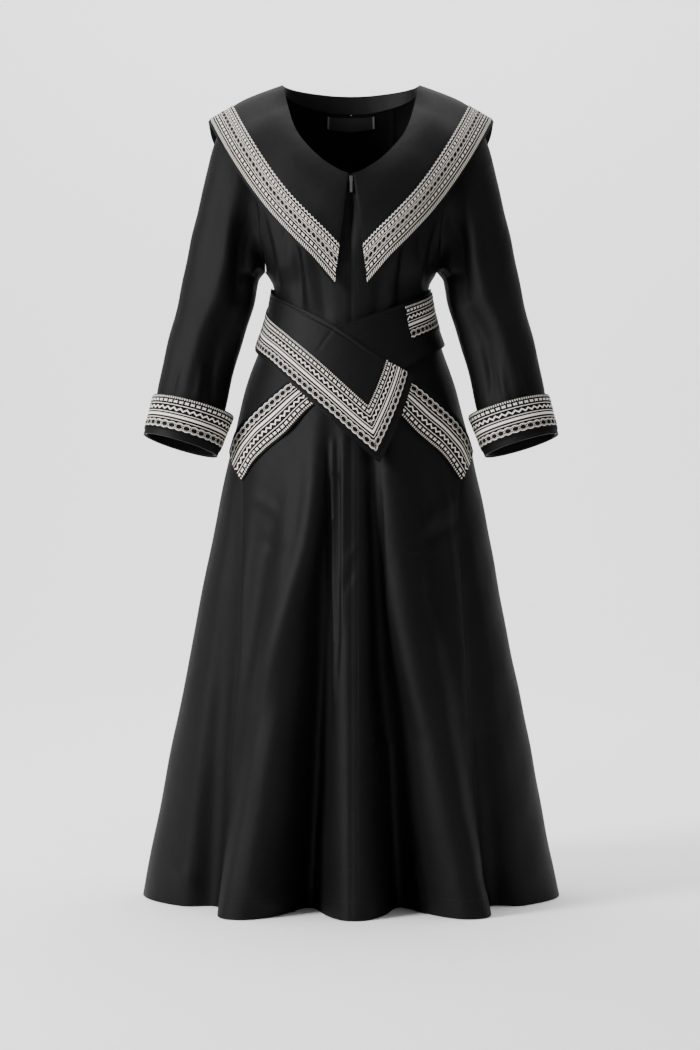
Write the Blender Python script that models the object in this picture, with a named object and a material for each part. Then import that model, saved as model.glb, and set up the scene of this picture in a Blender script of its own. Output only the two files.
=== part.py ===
"""A floor-length black coat-dress, filled out as worn: panels flared to a fluted hem, set-in sleeves with
turned-back cuffs, a cape collar on a stand, a crossed obi belt, slanted pocket welts and embroidered bands.

The front faces -Y and +X is on the right as seen from the front. The origin lies between the shoulder seams
where they meet the neck, which is where the wearer carries the dress. Lengths are in metres, angles in degrees.
"""

import math

import bpy
import numpy as np

# Cloth and the gap that sewn pieces keep
GAP = 0.0003
CLOTH = 0.0015
STIFF_CLOTH = 0.002
TRIM = 0.001
LAY = 0.0006
LABEL_LAY = 0.0013

# Heights
HEM = -1.362
ARMPIT = -0.306
FOLD_TOP = -0.50
FOLD_GROWTH = 1.4

# Sections of the body and skirt: height, half width, front depth, back depth
BODY = (
    (HEM, 0.354, 0.215, 0.222),
    (-1.000, 0.282, 0.190, 0.204),
    (-0.660, 0.215, 0.168, 0.184),
    (-0.520, 0.183, 0.150, 0.158),
    (-0.430, 0.152, 0.134, 0.128),
    (-0.385, 0.134, 0.128, 0.110),
    (-0.335, 0.1315, 0.1325, 0.107),
    (ARMPIT, 0.146, 0.138, 0.116),
)

# Seam between the front or back and the side panel: height, angle from the centre
SIDE_SEAM = (
    (HEM, 37.0),
    (-0.990, 42.5),
    (-0.730, 53.0),
    (-0.665, 57.5),
    (-0.613, 76.0),
    (-0.550, 83.0),
    (-0.430, 84.0),
    (ARMPIT, 85.0),
)

# Flutes: angle at the top, angle at the hem, half width, push outwards at the hem
FRONT_FLUTES = (
    (-60.0, -42.0, 6.0, -0.030),
    (-20.0, -27.5, 8.8, 0.078),
    (-9.0, -12.2, 4.2, -0.060),
    (0.0, 0.8, 6.8, 0.062),
    (12.0, 14.6, 4.6, -0.060),
    (20.0, 29.5, 8.4, 0.076),
    (54.0, 43.5, 5.5, -0.030),
)
BACK_FLUTES = (
    (-62.0, -49.0, 6.0, -0.028),
    (-30.0, -33.0, 9.0, 0.060),
    (-13.0, -17.5, 4.8, -0.052),
    (2.0, 0.0, 8.0, 0.054),
    (17.0, 17.0, 4.8, -0.055),
    (30.0, 32.5, 9.0, 0.064),
    (60.0, 48.5, 6.0, -0.028),
)
FLUTE_FLATNESS = 2.6

# Roll line of the collar on the right half, from the centre front over the shoulder to the centre back:
# place, x, y, z, height of the stand below it
ROLL = (
    (0.00, 0.0000, -0.1330, -0.1580, 0.004),
    (0.15, 0.0366, -0.1220, -0.1410, 0.005),
    (0.30, 0.0710, -0.1010, -0.1085, 0.006),
    (0.42, 0.0950, -0.0750, -0.0720, 0.008),
    (0.52, 0.1070, -0.0420, -0.0325, 0.011),
    (0.62, 0.1156, 0.0000, 0.0105, 0.014),
    (0.67, 0.1085, 0.0300, 0.0112, 0.018),
    (0.74, 0.0870, 0.0530, 0.0098, 0.024),
    (0.83, 0.0550, 0.0680, 0.0080, 0.029),
    (0.92, 0.0260, 0.0745, 0.0065, 0.032),
    (1.00, 0.0000, 0.0760, 0.0060, 0.032),
)
ROLL_SHOULDER = 0.62
ROLL_HALF_WIDTH = 0.1156
NECK_SHARE = 0.6
STAND_LIFT = 0.0013
SHOULDER_TIP = (0.186, 0.0, -0.036)
BACK_BLADE = 0.022
NECK_CENTRE = np.array([0.0, -0.03, 0.0])

# Outer edge of the collar at the same places, and how far the cloth bows out half-way to it
COLLAR_EDGE = (
    (0.00, 0.0270, -0.1430, -0.3440, 0.000, -0.014, 0.004),
    (0.10, 0.0650, -0.1430, -0.2990, 0.001, -0.019, 0.006),
    (0.20, 0.1000, -0.1340, -0.2620, 0.004, -0.023, 0.008),
    (0.30, 0.1350, -0.1160, -0.2220, 0.007, -0.024, 0.011),
    (0.40, 0.1680, -0.0960, -0.1780, 0.009, -0.022, 0.013),
    (0.50, 0.2000, -0.0760, -0.1300, 0.010, -0.016, 0.015),
    (0.57, 0.2270, -0.0440, -0.0820, 0.005, -0.006, 0.010),
    (0.62, 0.2415, -0.0040, -0.0520, 0.003, 0.000, 0.009),
    (0.66, 0.2400, 0.0300, -0.0660, 0.003, 0.006, 0.009),
    (0.74, 0.2220, 0.0750, -0.1050, 0.004, 0.014, 0.012),
    (0.82, 0.1800, 0.1080, -0.1500, 0.003, 0.020, 0.010),
    (0.90, 0.1150, 0.1280, -0.1820, 0.001, 0.022, 0.008),
    (1.00, 0.0000, 0.1350, -0.1950, 0.000, 0.022, 0.008),
)
COLLAR_FRONT_PLACE = 0.02
COLLAR_TRIM_WIDTH = 0.050
COLLAR_TRIM_MARGIN = 0.003

# Rings of the right sleeve, from the armhole to the wrist: place, inner x and z, outer x and z, centre y,
# half depth, tilt, scoop
SLEEVE = (
    (0.00, 0.1460, -0.3060, 0.1860, -0.0360, 0.000, 0.0780, 0.0, 0.007),
    (0.08, 0.1480, -0.3090, 0.2150, -0.0540, 0.000, 0.0770, 0.0, 0.004),
    (0.16, 0.1515, -0.3135, 0.2370, -0.1000, -0.001, 0.0755, 0.0, 0.002),
    (0.26, 0.1555, -0.3200, 0.2560, -0.1840, -0.004, 0.0730, 1.0, 0.000),
    (0.40, 0.1585, -0.3340, 0.2740, -0.2690, -0.010, 0.0700, 3.0, 0.000),
    (0.52, 0.1630, -0.3600, 0.2920, -0.3540, -0.019, 0.0660, 5.0, 0.000),
    (0.75, 0.1900, -0.4520, 0.3110, -0.4390, -0.034, 0.0620, 6.5, 0.000),
    (0.90, 0.2120, -0.5470, 0.3255, -0.5215, -0.054, 0.0585, 7.0, 0.000),
    (1.00, 0.2273, -0.6190, 0.3432, -0.5850, -0.067, 0.0585, 7.0, 0.000),
)
SLEEVE_PLACES = (0.0, 0.05, 0.10, 0.16, 0.21, 0.26, 0.40, 0.52, 0.68, 0.84, 1.0)
ARMHOLE_START = 5.0
CUFF = (
    (0.00, 0.1970, -0.5540, 0.3315, -0.5190, -0.054, 0.0675, 7.0, 0.000),
    (1.00, 0.2235, -0.6216, 0.3470, -0.5850, -0.067, 0.0625, 7.0, 0.000),
)
CUFF_CLOTH = 0.0025
CUFF_PLACES = (0.0, 0.03, 0.45, 0.86, 1.0)
CUFF_STEPS = 24

# Sections of the belt's outer face: height, half width, front depth, back depth
BELT = (
    (-0.325, 0.1342, 0.1365, 0.1110),
    (-0.380, 0.1440, 0.1370, 0.1170),
    (-0.431, 0.1605, 0.1460, 0.1360),
    (-0.500, 0.1870, 0.1620, 0.1620),
    (-0.580, 0.2080, 0.1770, 0.1830),
    (-0.645, 0.2220, 0.1880, 0.1950),
)
BELT_LAYER = 0.0046
# Edges of the belt's ends, as angle and height
OVER_TOP = ((-90.0, -0.334), (-45.0, -0.3685), (-13.3, -0.405), (18.5, -0.467), (33.0, -0.4925))
OVER_BOTTOM = ((-90.0, -0.431), (-52.6, -0.465), (-37.8, -0.490), (-16.9, -0.541), (12.0, -0.636))
UNDER_TOP = ((-12.0, -0.412), (-4.0, -0.4056), (13.0, -0.3905), (38.8, -0.369), (90.0, -0.334))
UNDER_BOTTOM = ((-12.0, -0.520), (10.0, -0.505), (29.4, -0.4777), (45.8, -0.457), (90.0, -0.426))
# The pointed end turns in from the top edge's end to the tip
OVER_TRIM_TOP = (0.34, 0.59)
OVER_TRIM_END = 0.885
UNDER_TRIM_START = 38.8
BACK_TOP = -0.334
BACK_TRIM = ((90.0, -0.340, -0.403), (180.0, -0.350, -0.413), (270.0, -0.366, -0.426))

# Slanted pocket welt on the right: place, angle and height of the upper edge, angle and height of the lower
WELT = (
    (0.0, 22.0, -0.470, 8.0, -0.515),
    (0.2, 36.0, -0.500, 20.0, -0.543),
    (0.4, 50.0, -0.530, 32.0, -0.585),
    (0.6, 65.0, -0.563, 43.0, -0.6135),
    (0.8, 74.0, -0.590, 50.5, -0.636),
    (1.0, 75.5, -0.612, 57.0, -0.663),
)
WELT_LIFT = 0.0012
WELT_GAPE = 0.0040

# Zip
ZIP_END = -0.95
TAPE_HALF = 0.012
SLIDER_SIZE = (0.0055, 0.0024, 0.0090)
EAR_SIZE = (0.0009, 0.0026, 0.0036)
EAR_SPACING = 0.0019
EAR_SUNK = 0.0005
PULL_AXIS_OUT = 0.0014
PULL_TOP = 0.0008
NECK_SIZE = (0.0013, 0.0016, 0.0038)
TAB_START = 0.0025
TAB_SIZE = (0.0040, 0.0010, 0.0230)

LABEL_HALF_WIDTH = 0.038
LABEL_ROWS = (-0.0285, -0.0165, -0.0045)

# Rows and columns of the panels
LOWER_HEIGHTS = (
    HEM, -1.24, -1.10, -0.96, -0.83, -0.72, -0.63, -0.55, -0.49, -0.44, -0.40, -0.36, -0.335, ARMPIT
)
ARMHOLE_ANGLES = (ARMHOLE_START, 22.0, 44.0, 66.0, 88.0, 110.0, 133.0, 156.0, 180.0)
FRONT_COLUMNS = (0.0, 0.06, 0.13, 0.21, 0.29, 0.37, 0.45, 0.53, 0.60, 0.68, 0.76, 0.84, 0.92, 1.0)
BACK_COLUMNS = (0.0, 0.10, 0.20, 0.275, 0.345, 0.43, 0.515, 0.60, 0.70, 0.80, 0.90, 1.0)
BACK_SEAM_COLUMN = 4
SIDE_COLUMNS = (1.0, 1.17, 1.33, 1.5, 1.67, 1.83, 2.0)

CLOTH_BLACK = (0.012, 0.012, 0.014, 1.0)
THREAD = (0.45, 0.42, 0.39, 1.0)
LABEL_BLACK = (0.006, 0.006, 0.006, 1.0)
ZIP_METAL = (0.55, 0.55, 0.56, 1.0)


def smooth_curve(rows):
    """A smooth curve through rows of (place, value, ...), which never swings past its rows."""
    rows = np.array(sorted(rows), float)
    places, values = rows[:, 0], rows[:, 1:]
    steps = np.diff(places)
    slopes = np.diff(values, axis=0) / steps[:, None]
    both = slopes[:-1] * slopes[1:]
    total = slopes[:-1] + slopes[1:]
    inner = np.where(both > 0, 2 * both / np.where(total == 0, 1, total), 0)
    tangents = np.vstack([slopes[:1], inner, slopes[-1:]])

    def at(place):
        place = np.clip(np.asarray(place, float), places[0], places[-1])
        i = np.clip(np.searchsorted(places, place, side="right") - 1, 0, len(steps) - 1)
        f = ((place - places[i]) / steps[i])[..., None]
        step = steps[i][..., None]
        start = (1 + 2 * f) * (1 - f) ** 2 * values[i] + f * (1 - f) ** 2 * step * tangents[i]
        end = f * f * (3 - 2 * f) * values[i + 1] - f * f * (1 - f) * step * tangents[i + 1]
        return start + end

    return at


def mirrored_ends(rows, odd):
    """The rows with two more beyond each end, mirrored there, so that the curve runs level across the centre."""
    rows = [tuple(row) for row in rows]

    def mirror(row, end):
        flipped = [-value if i in odd else value for i, value in enumerate(row)]
        flipped[0] = 2 * end - row[0]
        return tuple(flipped)

    first, last = rows[0][0], rows[-1][0]
    before = [mirror(row, first) for row in rows[2:0:-1]]
    after = [mirror(row, last) for row in rows[-2:-4:-1]]
    return before + rows + after


body_at = smooth_curve(BODY)
side_seam_at = smooth_curve(SIDE_SEAM)
roll_at = smooth_curve(mirrored_ends(ROLL, odd=(1,)))
collar_edge_at = smooth_curve(COLLAR_EDGE)
sleeve_at = smooth_curve(SLEEVE)
cuff_at = smooth_curve(CUFF)
belt_at = smooth_curve(BELT)
welt_at = smooth_curve(WELT)
back_trim_at = smooth_curve(BACK_TRIM)


def unit(vectors):
    return vectors / np.linalg.norm(vectors, axis=-1, keepdims=True)


def flute_push(face, angle, height):
    """How far the flutes push the skirt outwards. They start at FOLD_TOP and grow to the hem."""
    grown = np.clip((FOLD_TOP - height) / (FOLD_TOP - HEM), 0, None)
    push = np.zeros_like(grown * angle)
    for top_angle, hem_angle, half_width, depth in FRONT_FLUTES if face < 0 else BACK_FLUTES:
        centre = hem_angle + (top_angle - hem_angle) * (1 - np.clip(grown, 0, 1))
        push = push + depth * np.exp(-(np.abs((angle - centre) / half_width) ** FLUTE_FLATNESS))
    return push * grown**FOLD_GROWTH


def skirt_point(face, angle, height):
    """A point of the body below the armpits. The angle runs from the centre of that face towards +X."""
    half, front, back = np.moveaxis(body_at(height), -1, 0)
    depth = front if face < 0 else back
    turn = np.radians(angle)
    out = unit(np.stack([depth * np.sin(turn), face * half * np.cos(turn), 0 * turn * depth], -1))
    base = np.stack([half * np.sin(turn), face * depth * np.cos(turn), height + 0 * turn], -1)
    return base + out * flute_push(face, angle, height)[..., None]


def neck_point(place):
    """The neck seam, below the roll line by the height of the stand."""
    rolled = roll_at(place)
    return rolled[..., :3] - rolled[..., 3:] * np.array([0, 0, 1])


def top_edge_point(face, share):
    """Neck seam from the centre to the shoulder, then the shoulder seam to its tip."""
    along = np.clip(share / NECK_SHARE, None, 1)
    place = ROLL_SHOULDER * along if face < 0 else 1 - (1 - ROLL_SHOULDER) * along
    out = ((share - NECK_SHARE) / (1 - NECK_SHARE))[..., None]
    corner = neck_point(np.array(ROLL_SHOULDER))
    return np.where(out > 0, corner + (np.array(SHOULDER_TIP) - corner) * out, neck_point(place))


def ring_point(table, place, turn, out=0.0):
    """A point of a sleeve or cuff ring. The turn runs from its inner side over the front to its outer side."""
    inner_x, inner_z, outer_x, outer_z, centre_y, depth, tilt, scoop = np.moveaxis(table(place), -1, 0)
    nothing = 0 * inner_x
    across = np.stack([outer_x - inner_x, nothing, outer_z - inner_z], -1)
    half = np.linalg.norm(across, axis=-1, keepdims=True) / 2
    across = unit(across)
    lift = np.stack([-across[..., 2], nothing, across[..., 0]], -1)
    tilt = np.radians(tilt)[..., None]
    front = np.cos(tilt) * np.array([0.0, -1.0, 0.0]) + np.sin(tilt) * lift
    centre = np.stack([(inner_x + outer_x) / 2, centre_y, (inner_z + outer_z) / 2], -1)
    turn = np.radians(turn)
    cosine, sine = np.cos(turn)[..., None], np.sin(turn)[..., None]
    depth = depth[..., None]
    normal = unit(-across * cosine / half + front * sine / depth)
    point = centre - across * half * cosine + front * depth * sine
    point = point - (scoop[..., None] * sine**2) * np.array([1.0, 0.0, 0.0])
    return point + normal * out, normal


def yoke_point(face, share, rise):
    """A point above the armpits, blended from the four edges of that quarter of the body."""
    share, rise = np.broadcast_arrays(share, rise)
    armpit_seam = side_seam_at(np.array(ARMPIT))[0]
    bottom = skirt_point(face, share * armpit_seam, np.full(share.shape, ARMPIT))
    top = top_edge_point(face, share)
    turn = ARMHOLE_START + (180 - ARMHOLE_START) * rise
    nowhere = np.zeros_like(share)
    armhole = ring_point(sleeve_at, nowhere, turn if face < 0 else -turn)[0]
    armhole_start = ring_point(sleeve_at, nowhere, nowhere - face * ARMHOLE_START)[0]
    middle_bottom = skirt_point(face, nowhere, np.full(share.shape, ARMPIT))
    middle_top = neck_point(nowhere if face < 0 else nowhere + 1)
    u, v = share[..., None], rise[..., None]
    middle = middle_bottom + (middle_top - middle_bottom) * v
    if face > 0:
        middle = middle + BACK_BLADE * np.sin(np.pi * v) * np.array([0.0, 1.0, 0.0])
    tip = np.array(SHOULDER_TIP)
    low_corners = (1 - u) * middle_bottom + u * armhole_start
    high_corners = (1 - u) * middle_top + u * tip
    edges = (1 - v) * bottom + v * top + (1 - u) * middle + u * armhole
    return edges - (1 - v) * low_corners - v * high_corners


def body_point(face, column, height):
    """A point of the dress. Column 0 is the centre of the face, 1 the side seam and 2 the side of the body.
    Heights above 0 stand for the shoulder line, and the yoke lies between the armpits and there."""
    side = np.where(column < 0, -1.0, 1.0)
    share = np.abs(column)
    seam = side_seam_at(height)[..., 0]
    angle = np.where(share <= 1, share * seam, seam + (share - 1) * (90 - seam))
    lower = skirt_point(face, side * angle, height)
    rise = np.clip((height - ARMPIT) / -ARMPIT, 0, None)
    upper = yoke_point(face, np.clip(share, 0, 1), rise)
    upper = upper * np.stack([side, np.ones_like(side), np.ones_like(side)], -1)
    return np.where((height > ARMPIT)[..., None], upper, lower)


def surface_normals(surface, first, second, inside):
    """Outward unit normals of a surface of two parameters, by differences. They point away from inside."""
    step = 1e-4
    along = surface(first + step, second) - surface(first - step, second)
    across = surface(first, second + step) - surface(first, second - step)
    normals = unit(np.cross(along, across))
    facing = np.sum(normals * (surface(first, second) - inside), -1)
    return normals * np.where(facing < 0, -1.0, 1.0)[..., None]


def body_grid(face, columns, heights):
    """Outer points and normals of a stretch of one face."""
    column, height = np.meshgrid(np.array(columns, float), np.array(heights, float))
    points = body_point(face, column, height)
    middle = points * np.array([0.0, 0.0, 1.0]) + np.array([0.0, 0.0, -0.04])
    normals = surface_normals(lambda c, h: body_point(face, c, h), column, height, middle)
    if heights[-1] == 0:
        # At the shoulder seam both walls stand upright, and at the neck seam the wall leans towards the stand's
        shoulder = np.abs(column[-1]) >= NECK_SHARE
        normals[-1, shoulder, 1] = 0
        normals[-1, ~shoulder] += neck_outwards(points[-1, ~shoulder])
        normals[-1] = unit(normals[-1])
    return points, normals


def trimmed(points, sides=True, bottom=False, top=True):
    """The grid drawn in by half the gap at the edges that meet another piece."""
    points = points.copy()

    def draw_in(edge, beside):
        return edge + unit(beside - edge) * GAP / 2

    if sides:
        first, last = draw_in(points[:, 0], points[:, 1]), draw_in(points[:, -1], points[:, -2])
        points[:, 0], points[:, -1] = first, last
    if top:
        points[-1] = draw_in(points[-1], points[-2])
    if bottom:
        points[0] = draw_in(points[0], points[1])
    return points


def material(name, colour, roughness, metallic=0.0):
    made = bpy.data.materials.new(name)
    made.use_nodes = True
    shader = made.node_tree.nodes["Principled BSDF"]
    shader.inputs["Base Color"].default_value = colour
    shader.inputs["Roughness"].default_value = roughness
    shader.inputs["Metallic"].default_value = metallic
    made.diffuse_color = colour
    return made


def add_object(name, vertices, faces, finish, parent, location=(0.0, 0.0, 0.0)):
    mesh = bpy.data.meshes.new(name)
    mesh.from_pydata([tuple(vertex) for vertex in vertices], [], faces)
    mesh.validate()
    mesh.materials.append(finish)
    made = bpy.data.objects.new(name, mesh)
    made.location = location
    made.parent = parent
    bpy.context.collection.objects.link(made)
    return made


def wall(name, outer, normals, thickness, finish, parent, around=False, cells=None):
    """A closed sheet of cloth: the outer grid, the same moved in by its thickness, and rims round its edges.
    Cells, where given, says which of the grid's cells belong to the piece."""
    rows, columns = outer.shape[:2]
    inner = outer - normals * thickness
    vertices = np.concatenate([outer.reshape(-1, 3), inner.reshape(-1, 3)])
    below = rows * columns
    last = columns if around else columns - 1
    if cells is None:
        cells = np.ones((rows - 1, last), bool)
    turned = np.cross(outer[0, 1] - outer[0, 0], outer[1, 0] - outer[0, 0])
    flip = np.dot(turned, normals[0, 0]) < 0
    faces = []

    def add(*corners):
        faces.append(corners[::-1] if flip else corners)

    def inside(i, j):
        if around:
            j %= columns
        return 0 <= i < rows - 1 and 0 <= j < last and cells[i, j]

    for i in range(rows - 1):
        for j in range(last):
            if not cells[i, j]:
                continue
            k = (j + 1) % columns
            a, b, c, d = i * columns + j, i * columns + k, (i + 1) * columns + k, (i + 1) * columns + j
            add(a, b, c, d)
            add(a + below, d + below, c + below, b + below)
            edges = ((a, b, (i - 1, j)), (b, c, (i, j + 1)), (c, d, (i + 1, j)), (d, a, (i, j - 1)))
            for start, end, beside in edges:
                if inside(*beside):
                    continue
                # The same diagonal on both sides of a seam keeps their rims parallel
                if start < end:
                    add(end, start, end + below)
                    add(start, start + below, end + below)
                else:
                    add(end, start, start + below)
                    add(end, start + below, end + below)
    used = sorted({corner for face in faces for corner in face})
    new = {old: i for i, old in enumerate(used)}
    faces = [tuple(new[corner] for corner in face) for face in faces]
    made = add_object(name, vertices[used], faces, finish, parent)
    made.data.shade_smooth()
    made.data.set_sharp_from_angle(angle=math.radians(50))
    return made


def mirror(grid):
    return grid * np.array([-1.0, 1.0, 1.0])


def both_sides(name, points, normals, thickness, finish, parent, **options):
    """The piece on the right as seen from the front, and its mirror image on the left."""
    wall(f"{name}_right", points, normals, thickness, finish, parent, **options)
    wall(f"{name}_left", mirror(points), mirror(normals), thickness, finish, parent, **options)


def yoke_heights():
    rise = (np.array(ARMHOLE_ANGLES) - ARMHOLE_START) / (180 - ARMHOLE_START)
    return list(ARMPIT * (1 - rise))[1:-1] + [0.0]


def add_body(cloth, parent):
    heights = list(LOWER_HEIGHTS) + yoke_heights()
    for side, sign in (("right", 1), ("left", -1)):
        points, normals = body_grid(-1, [sign * c for c in FRONT_COLUMNS], heights)
        wall(f"front_{side}", trimmed(points), normals, CLOTH, cloth, parent)
        outer_columns = [sign * c for c in BACK_COLUMNS[BACK_SEAM_COLUMN:]]
        points, normals = body_grid(1, outer_columns, heights)
        wall(f"back_{side}", trimmed(points), normals, CLOTH, cloth, parent)
        front, front_normals = body_grid(-1, [sign * c for c in SIDE_COLUMNS], LOWER_HEIGHTS)
        back, back_normals = body_grid(1, [sign * c for c in SIDE_COLUMNS[-2::-1]], LOWER_HEIGHTS)
        points = trimmed(np.concatenate([front, back], axis=1))
        normals = np.concatenate([front_normals, back_normals], axis=1)
        wall(f"side_{side}", points, normals, CLOTH, cloth, parent)
    half = BACK_COLUMNS[: BACK_SEAM_COLUMN + 1]
    points, normals = body_grid(1, [-c for c in half[:0:-1]] + list(half), heights)
    wall("back_centre", trimmed(points), normals, CLOTH, cloth, parent)


def neck_outwards(points):
    """Level unit vectors that point away from the neck."""
    return unit((points - NECK_CENTRE) * np.array([1.0, 1.0, 0.0]))


def collar_places():
    front = [ROLL_SHOULDER * c / NECK_SHARE for c in FRONT_COLUMNS if c <= NECK_SHARE]
    back = [1 - (1 - ROLL_SHOULDER) * c / NECK_SHARE for c in BACK_COLUMNS if c < NECK_SHARE]
    return np.array(front + back[::-1])


def add_stand(cloth, parent):
    """The band between the neck seam and the roll line, all round the neck."""
    right = collar_places()
    places = np.concatenate([right, 2 - right[-2::-1]])
    side = np.where(places > 1, -1.0, 1.0)
    folded = np.where(places > 1, 2 - places, places)
    along = np.stack([side, np.ones_like(side), np.ones_like(side)], -1)
    bottom = neck_point(folded) * along + np.array([0.0, 0.0, STAND_LIFT])
    top = roll_at(folded)[..., :3] * along
    points = np.stack([bottom, top])
    out = neck_outwards(top)
    points[:, 0] += np.array([GAP, 0.0, 0.0])
    points[:, -1] -= np.array([GAP, 0.0, 0.0])
    wall("neck_stand", points, np.stack([out, out]), CLOTH, cloth, parent)


def collar_base(place, reach):
    """The surface that the collar lies on, from the roll line (reach 0) to its outer edge (reach 1)."""
    start = roll_at(np.where(place < COLLAR_FRONT_PLACE, COLLAR_FRONT_PLACE, place))[..., :3]
    row = collar_edge_at(place)
    end, bow = row[..., :3], row[..., 3:]
    middle = (start + end) / 2 + bow
    reach = reach[..., None]
    return (1 - reach) ** 2 * start + 2 * reach * (1 - reach) * middle + reach**2 * end


def reach_from_edge(places, distance):
    """For each place, the reach where the collar is this far from its outer edge."""
    edge = collar_base(np.linspace(0, 1, 241), np.ones(241))
    found = []
    for place in places:
        reach = np.linspace(0.3, 1, 141)
        line = collar_base(np.full(reach.shape, place), reach)
        away = np.linalg.norm(line[:, None] - edge[None], axis=-1).min(axis=1)
        found.append(np.interp(-distance, -away, reach))
    return np.array(found)


def add_collar(cloth, thread, parent):
    places = collar_places()
    trim_start = reach_from_edge(places, COLLAR_TRIM_WIDTH)
    trim_end = reach_from_edge(places, COLLAR_TRIM_MARGIN)
    rows = [share * trim_start for share in (0.0, 0.06, 0.2, 0.45, 0.75, 1.0)]
    first_trim_row = len(rows) - 1
    rows += [trim_start + (trim_end - trim_start) * share for share in (0.33, 0.67, 1.0)]
    last_trim_row = len(rows) - 1
    rows.append(np.ones_like(places))
    reach = np.array(rows)
    place = np.broadcast_to(places, reach.shape)
    base = collar_base(place, reach)
    inside = np.array([0.0, 0.0, -0.25])
    safe = np.clip(place, 1e-3, 1 - 1e-3)
    normals = surface_normals(collar_base, safe, np.clip(reach, 1e-3, 1 - 1e-3), inside)
    normals[:, -1, 0] = 0
    normals = unit(normals)
    collar = base + normals * (STIFF_CLOTH + GAP)
    collar[:, -1] += np.array([GAP / 2, 0.0, 0.0])
    both_sides("collar", collar, normals, STIFF_CLOTH, cloth, parent)
    rows = slice(first_trim_row, last_trim_row + 1)
    band = collar[rows] + normals[rows] * (GAP + TRIM)
    both_sides("trim_collar", band, normals[rows], TRIM, thread, parent)


def add_sleeves(cloth, thread, parent):
    front = list(ARMHOLE_ANGLES)
    turns = np.array([0.0] + front + [360 - angle for angle in front[-2::-1]])
    place, turn = np.broadcast_arrays(np.array(SLEEVE_PLACES)[:, None], turns[None])
    points, normals = ring_point(sleeve_at, place, turn)
    points = points.copy()
    points[0] += np.array([GAP, 0.0, 0.0])
    both_sides("sleeve", points, normals, CLOTH, cloth, parent, around=True)
    turns = np.arange(CUFF_STEPS) * 360 / CUFF_STEPS
    place, turn = np.broadcast_arrays(np.array(CUFF_PLACES)[:, None], turns[None])
    points, normals = ring_point(cuff_at, place, turn)
    both_sides("cuff", points, normals, CUFF_CLOTH, cloth, parent, around=True)
    band = points[1:4] + normals[1:4] * (GAP + TRIM)
    both_sides("trim_cuff", band, normals[1:4], TRIM, thread, parent, around=True)


def belt_point(angle, height):
    """The belt's outer face. Angles run from the centre front over +X, past 90, to the back."""
    half, front, back = np.moveaxis(belt_at(height), -1, 0)
    turn = np.radians(angle)
    depth = np.where(np.cos(turn) > 0, front, back)
    point = np.stack([half * np.sin(turn), -depth * np.cos(turn), height + 0 * turn], -1)
    return point


def belt_grid(angle, height):
    points = belt_point(angle, height)
    middle = points * np.array([0.0, 0.0, 1.0])
    return points, surface_normals(belt_point, angle, height, middle)


def strip_between(top_angles, top, bottom_angles, bottom, shares):
    """Angles and heights of rows between a top edge and a bottom edge."""
    angle = top_angles + (bottom_angles - top_angles) * shares
    height = top(top_angles)[..., 0] * (1 - shares) + bottom(bottom_angles)[..., 0] * shares
    return angle, height


def add_belt(cloth, thread, parent):
    """The outer end crosses to the right and ends in a point, the other end passes beneath it."""
    along = np.append(np.linspace(0, 0.79, 11), [OVER_TRIM_END, 0.98, 1.0])
    trim_start = np.interp(along, (0, OVER_TRIM_END), OVER_TRIM_TOP)
    plain = np.array([0.0, 0.25, 0.5, 0.75])[:, None] * trim_start
    banded = trim_start + (0.97 - trim_start) * np.array([0.0, 0.5, 1.0])[:, None]
    shares = np.concatenate([plain, banded, np.ones((1, len(along)))])
    top_angles = OVER_TOP[0][0] + (OVER_TOP[-1][0] - OVER_TOP[0][0]) * along
    bottom_angles = OVER_BOTTOM[0][0] + (OVER_BOTTOM[-1][0] - OVER_BOTTOM[0][0]) * along
    angle, height = strip_between(
        top_angles, smooth_curve(OVER_TOP), bottom_angles, smooth_curve(OVER_BOTTOM), shares
    )
    points, normals = belt_grid(angle, height)
    outwards = BELT_LAYER * np.clip((angle + 90) / 40, 0, 1)
    points = points + normals * outwards[..., None]
    points = trimmed(points, top=False)
    wall("belt_over", points, normals, STIFF_CLOTH, cloth, parent)
    first, last, end = len(plain), len(shares) - 2, len(along) - 3
    cells = np.zeros((len(shares) - 1, len(along) - 1), bool)
    cells[first:last, : end + 1] = True
    cells[:last, end] = True
    band = points + normals * (GAP + TRIM)
    wall("trim_belt_over", band, normals, TRIM, thread, parent, cells=cells)

    angles = np.array([-12.0, -4.0, 4.0, 13.0, 22.0, 30.0, UNDER_TRIM_START, 50.0, 60.0, 70.0, 80.0, 90.0])
    shares = np.array([0.0, 0.06, 0.26, 0.46, 0.66, 1.0])[:, None]
    angle, height = strip_between(angles, smooth_curve(UNDER_TOP), angles, smooth_curve(UNDER_BOTTOM), shares)
    points, normals = belt_grid(angle, height)
    points = trimmed(points, top=False)
    wall("belt_under", points, normals, STIFF_CLOTH, cloth, parent)
    band = (points + normals * (GAP + TRIM))[1:5, 6:]
    wall("trim_belt_under", band, normals[1:5, 6:], TRIM, thread, parent)

    angles = np.linspace(90, 270, 25)
    turned = (angles - 90) / 180
    trim_top, trim_bottom = np.moveaxis(back_trim_at(angles), -1, 0)
    low = UNDER_BOTTOM[-1][1] * (1 - turned) + OVER_BOTTOM[0][1] * turned
    high = np.full(angles.shape, BACK_TOP)
    height = np.stack([high, trim_top, (trim_top + trim_bottom) / 2, trim_bottom, low])
    angle = np.broadcast_to(angles, height.shape)
    points, normals = belt_grid(angle, height)
    points = trimmed(points, top=False)
    wall("belt_back", points, normals, STIFF_CLOTH, cloth, parent)
    band = (points + normals * (GAP + TRIM))[1:4]
    wall("trim_belt_back", band, normals[1:4], TRIM, thread, parent)


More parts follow.
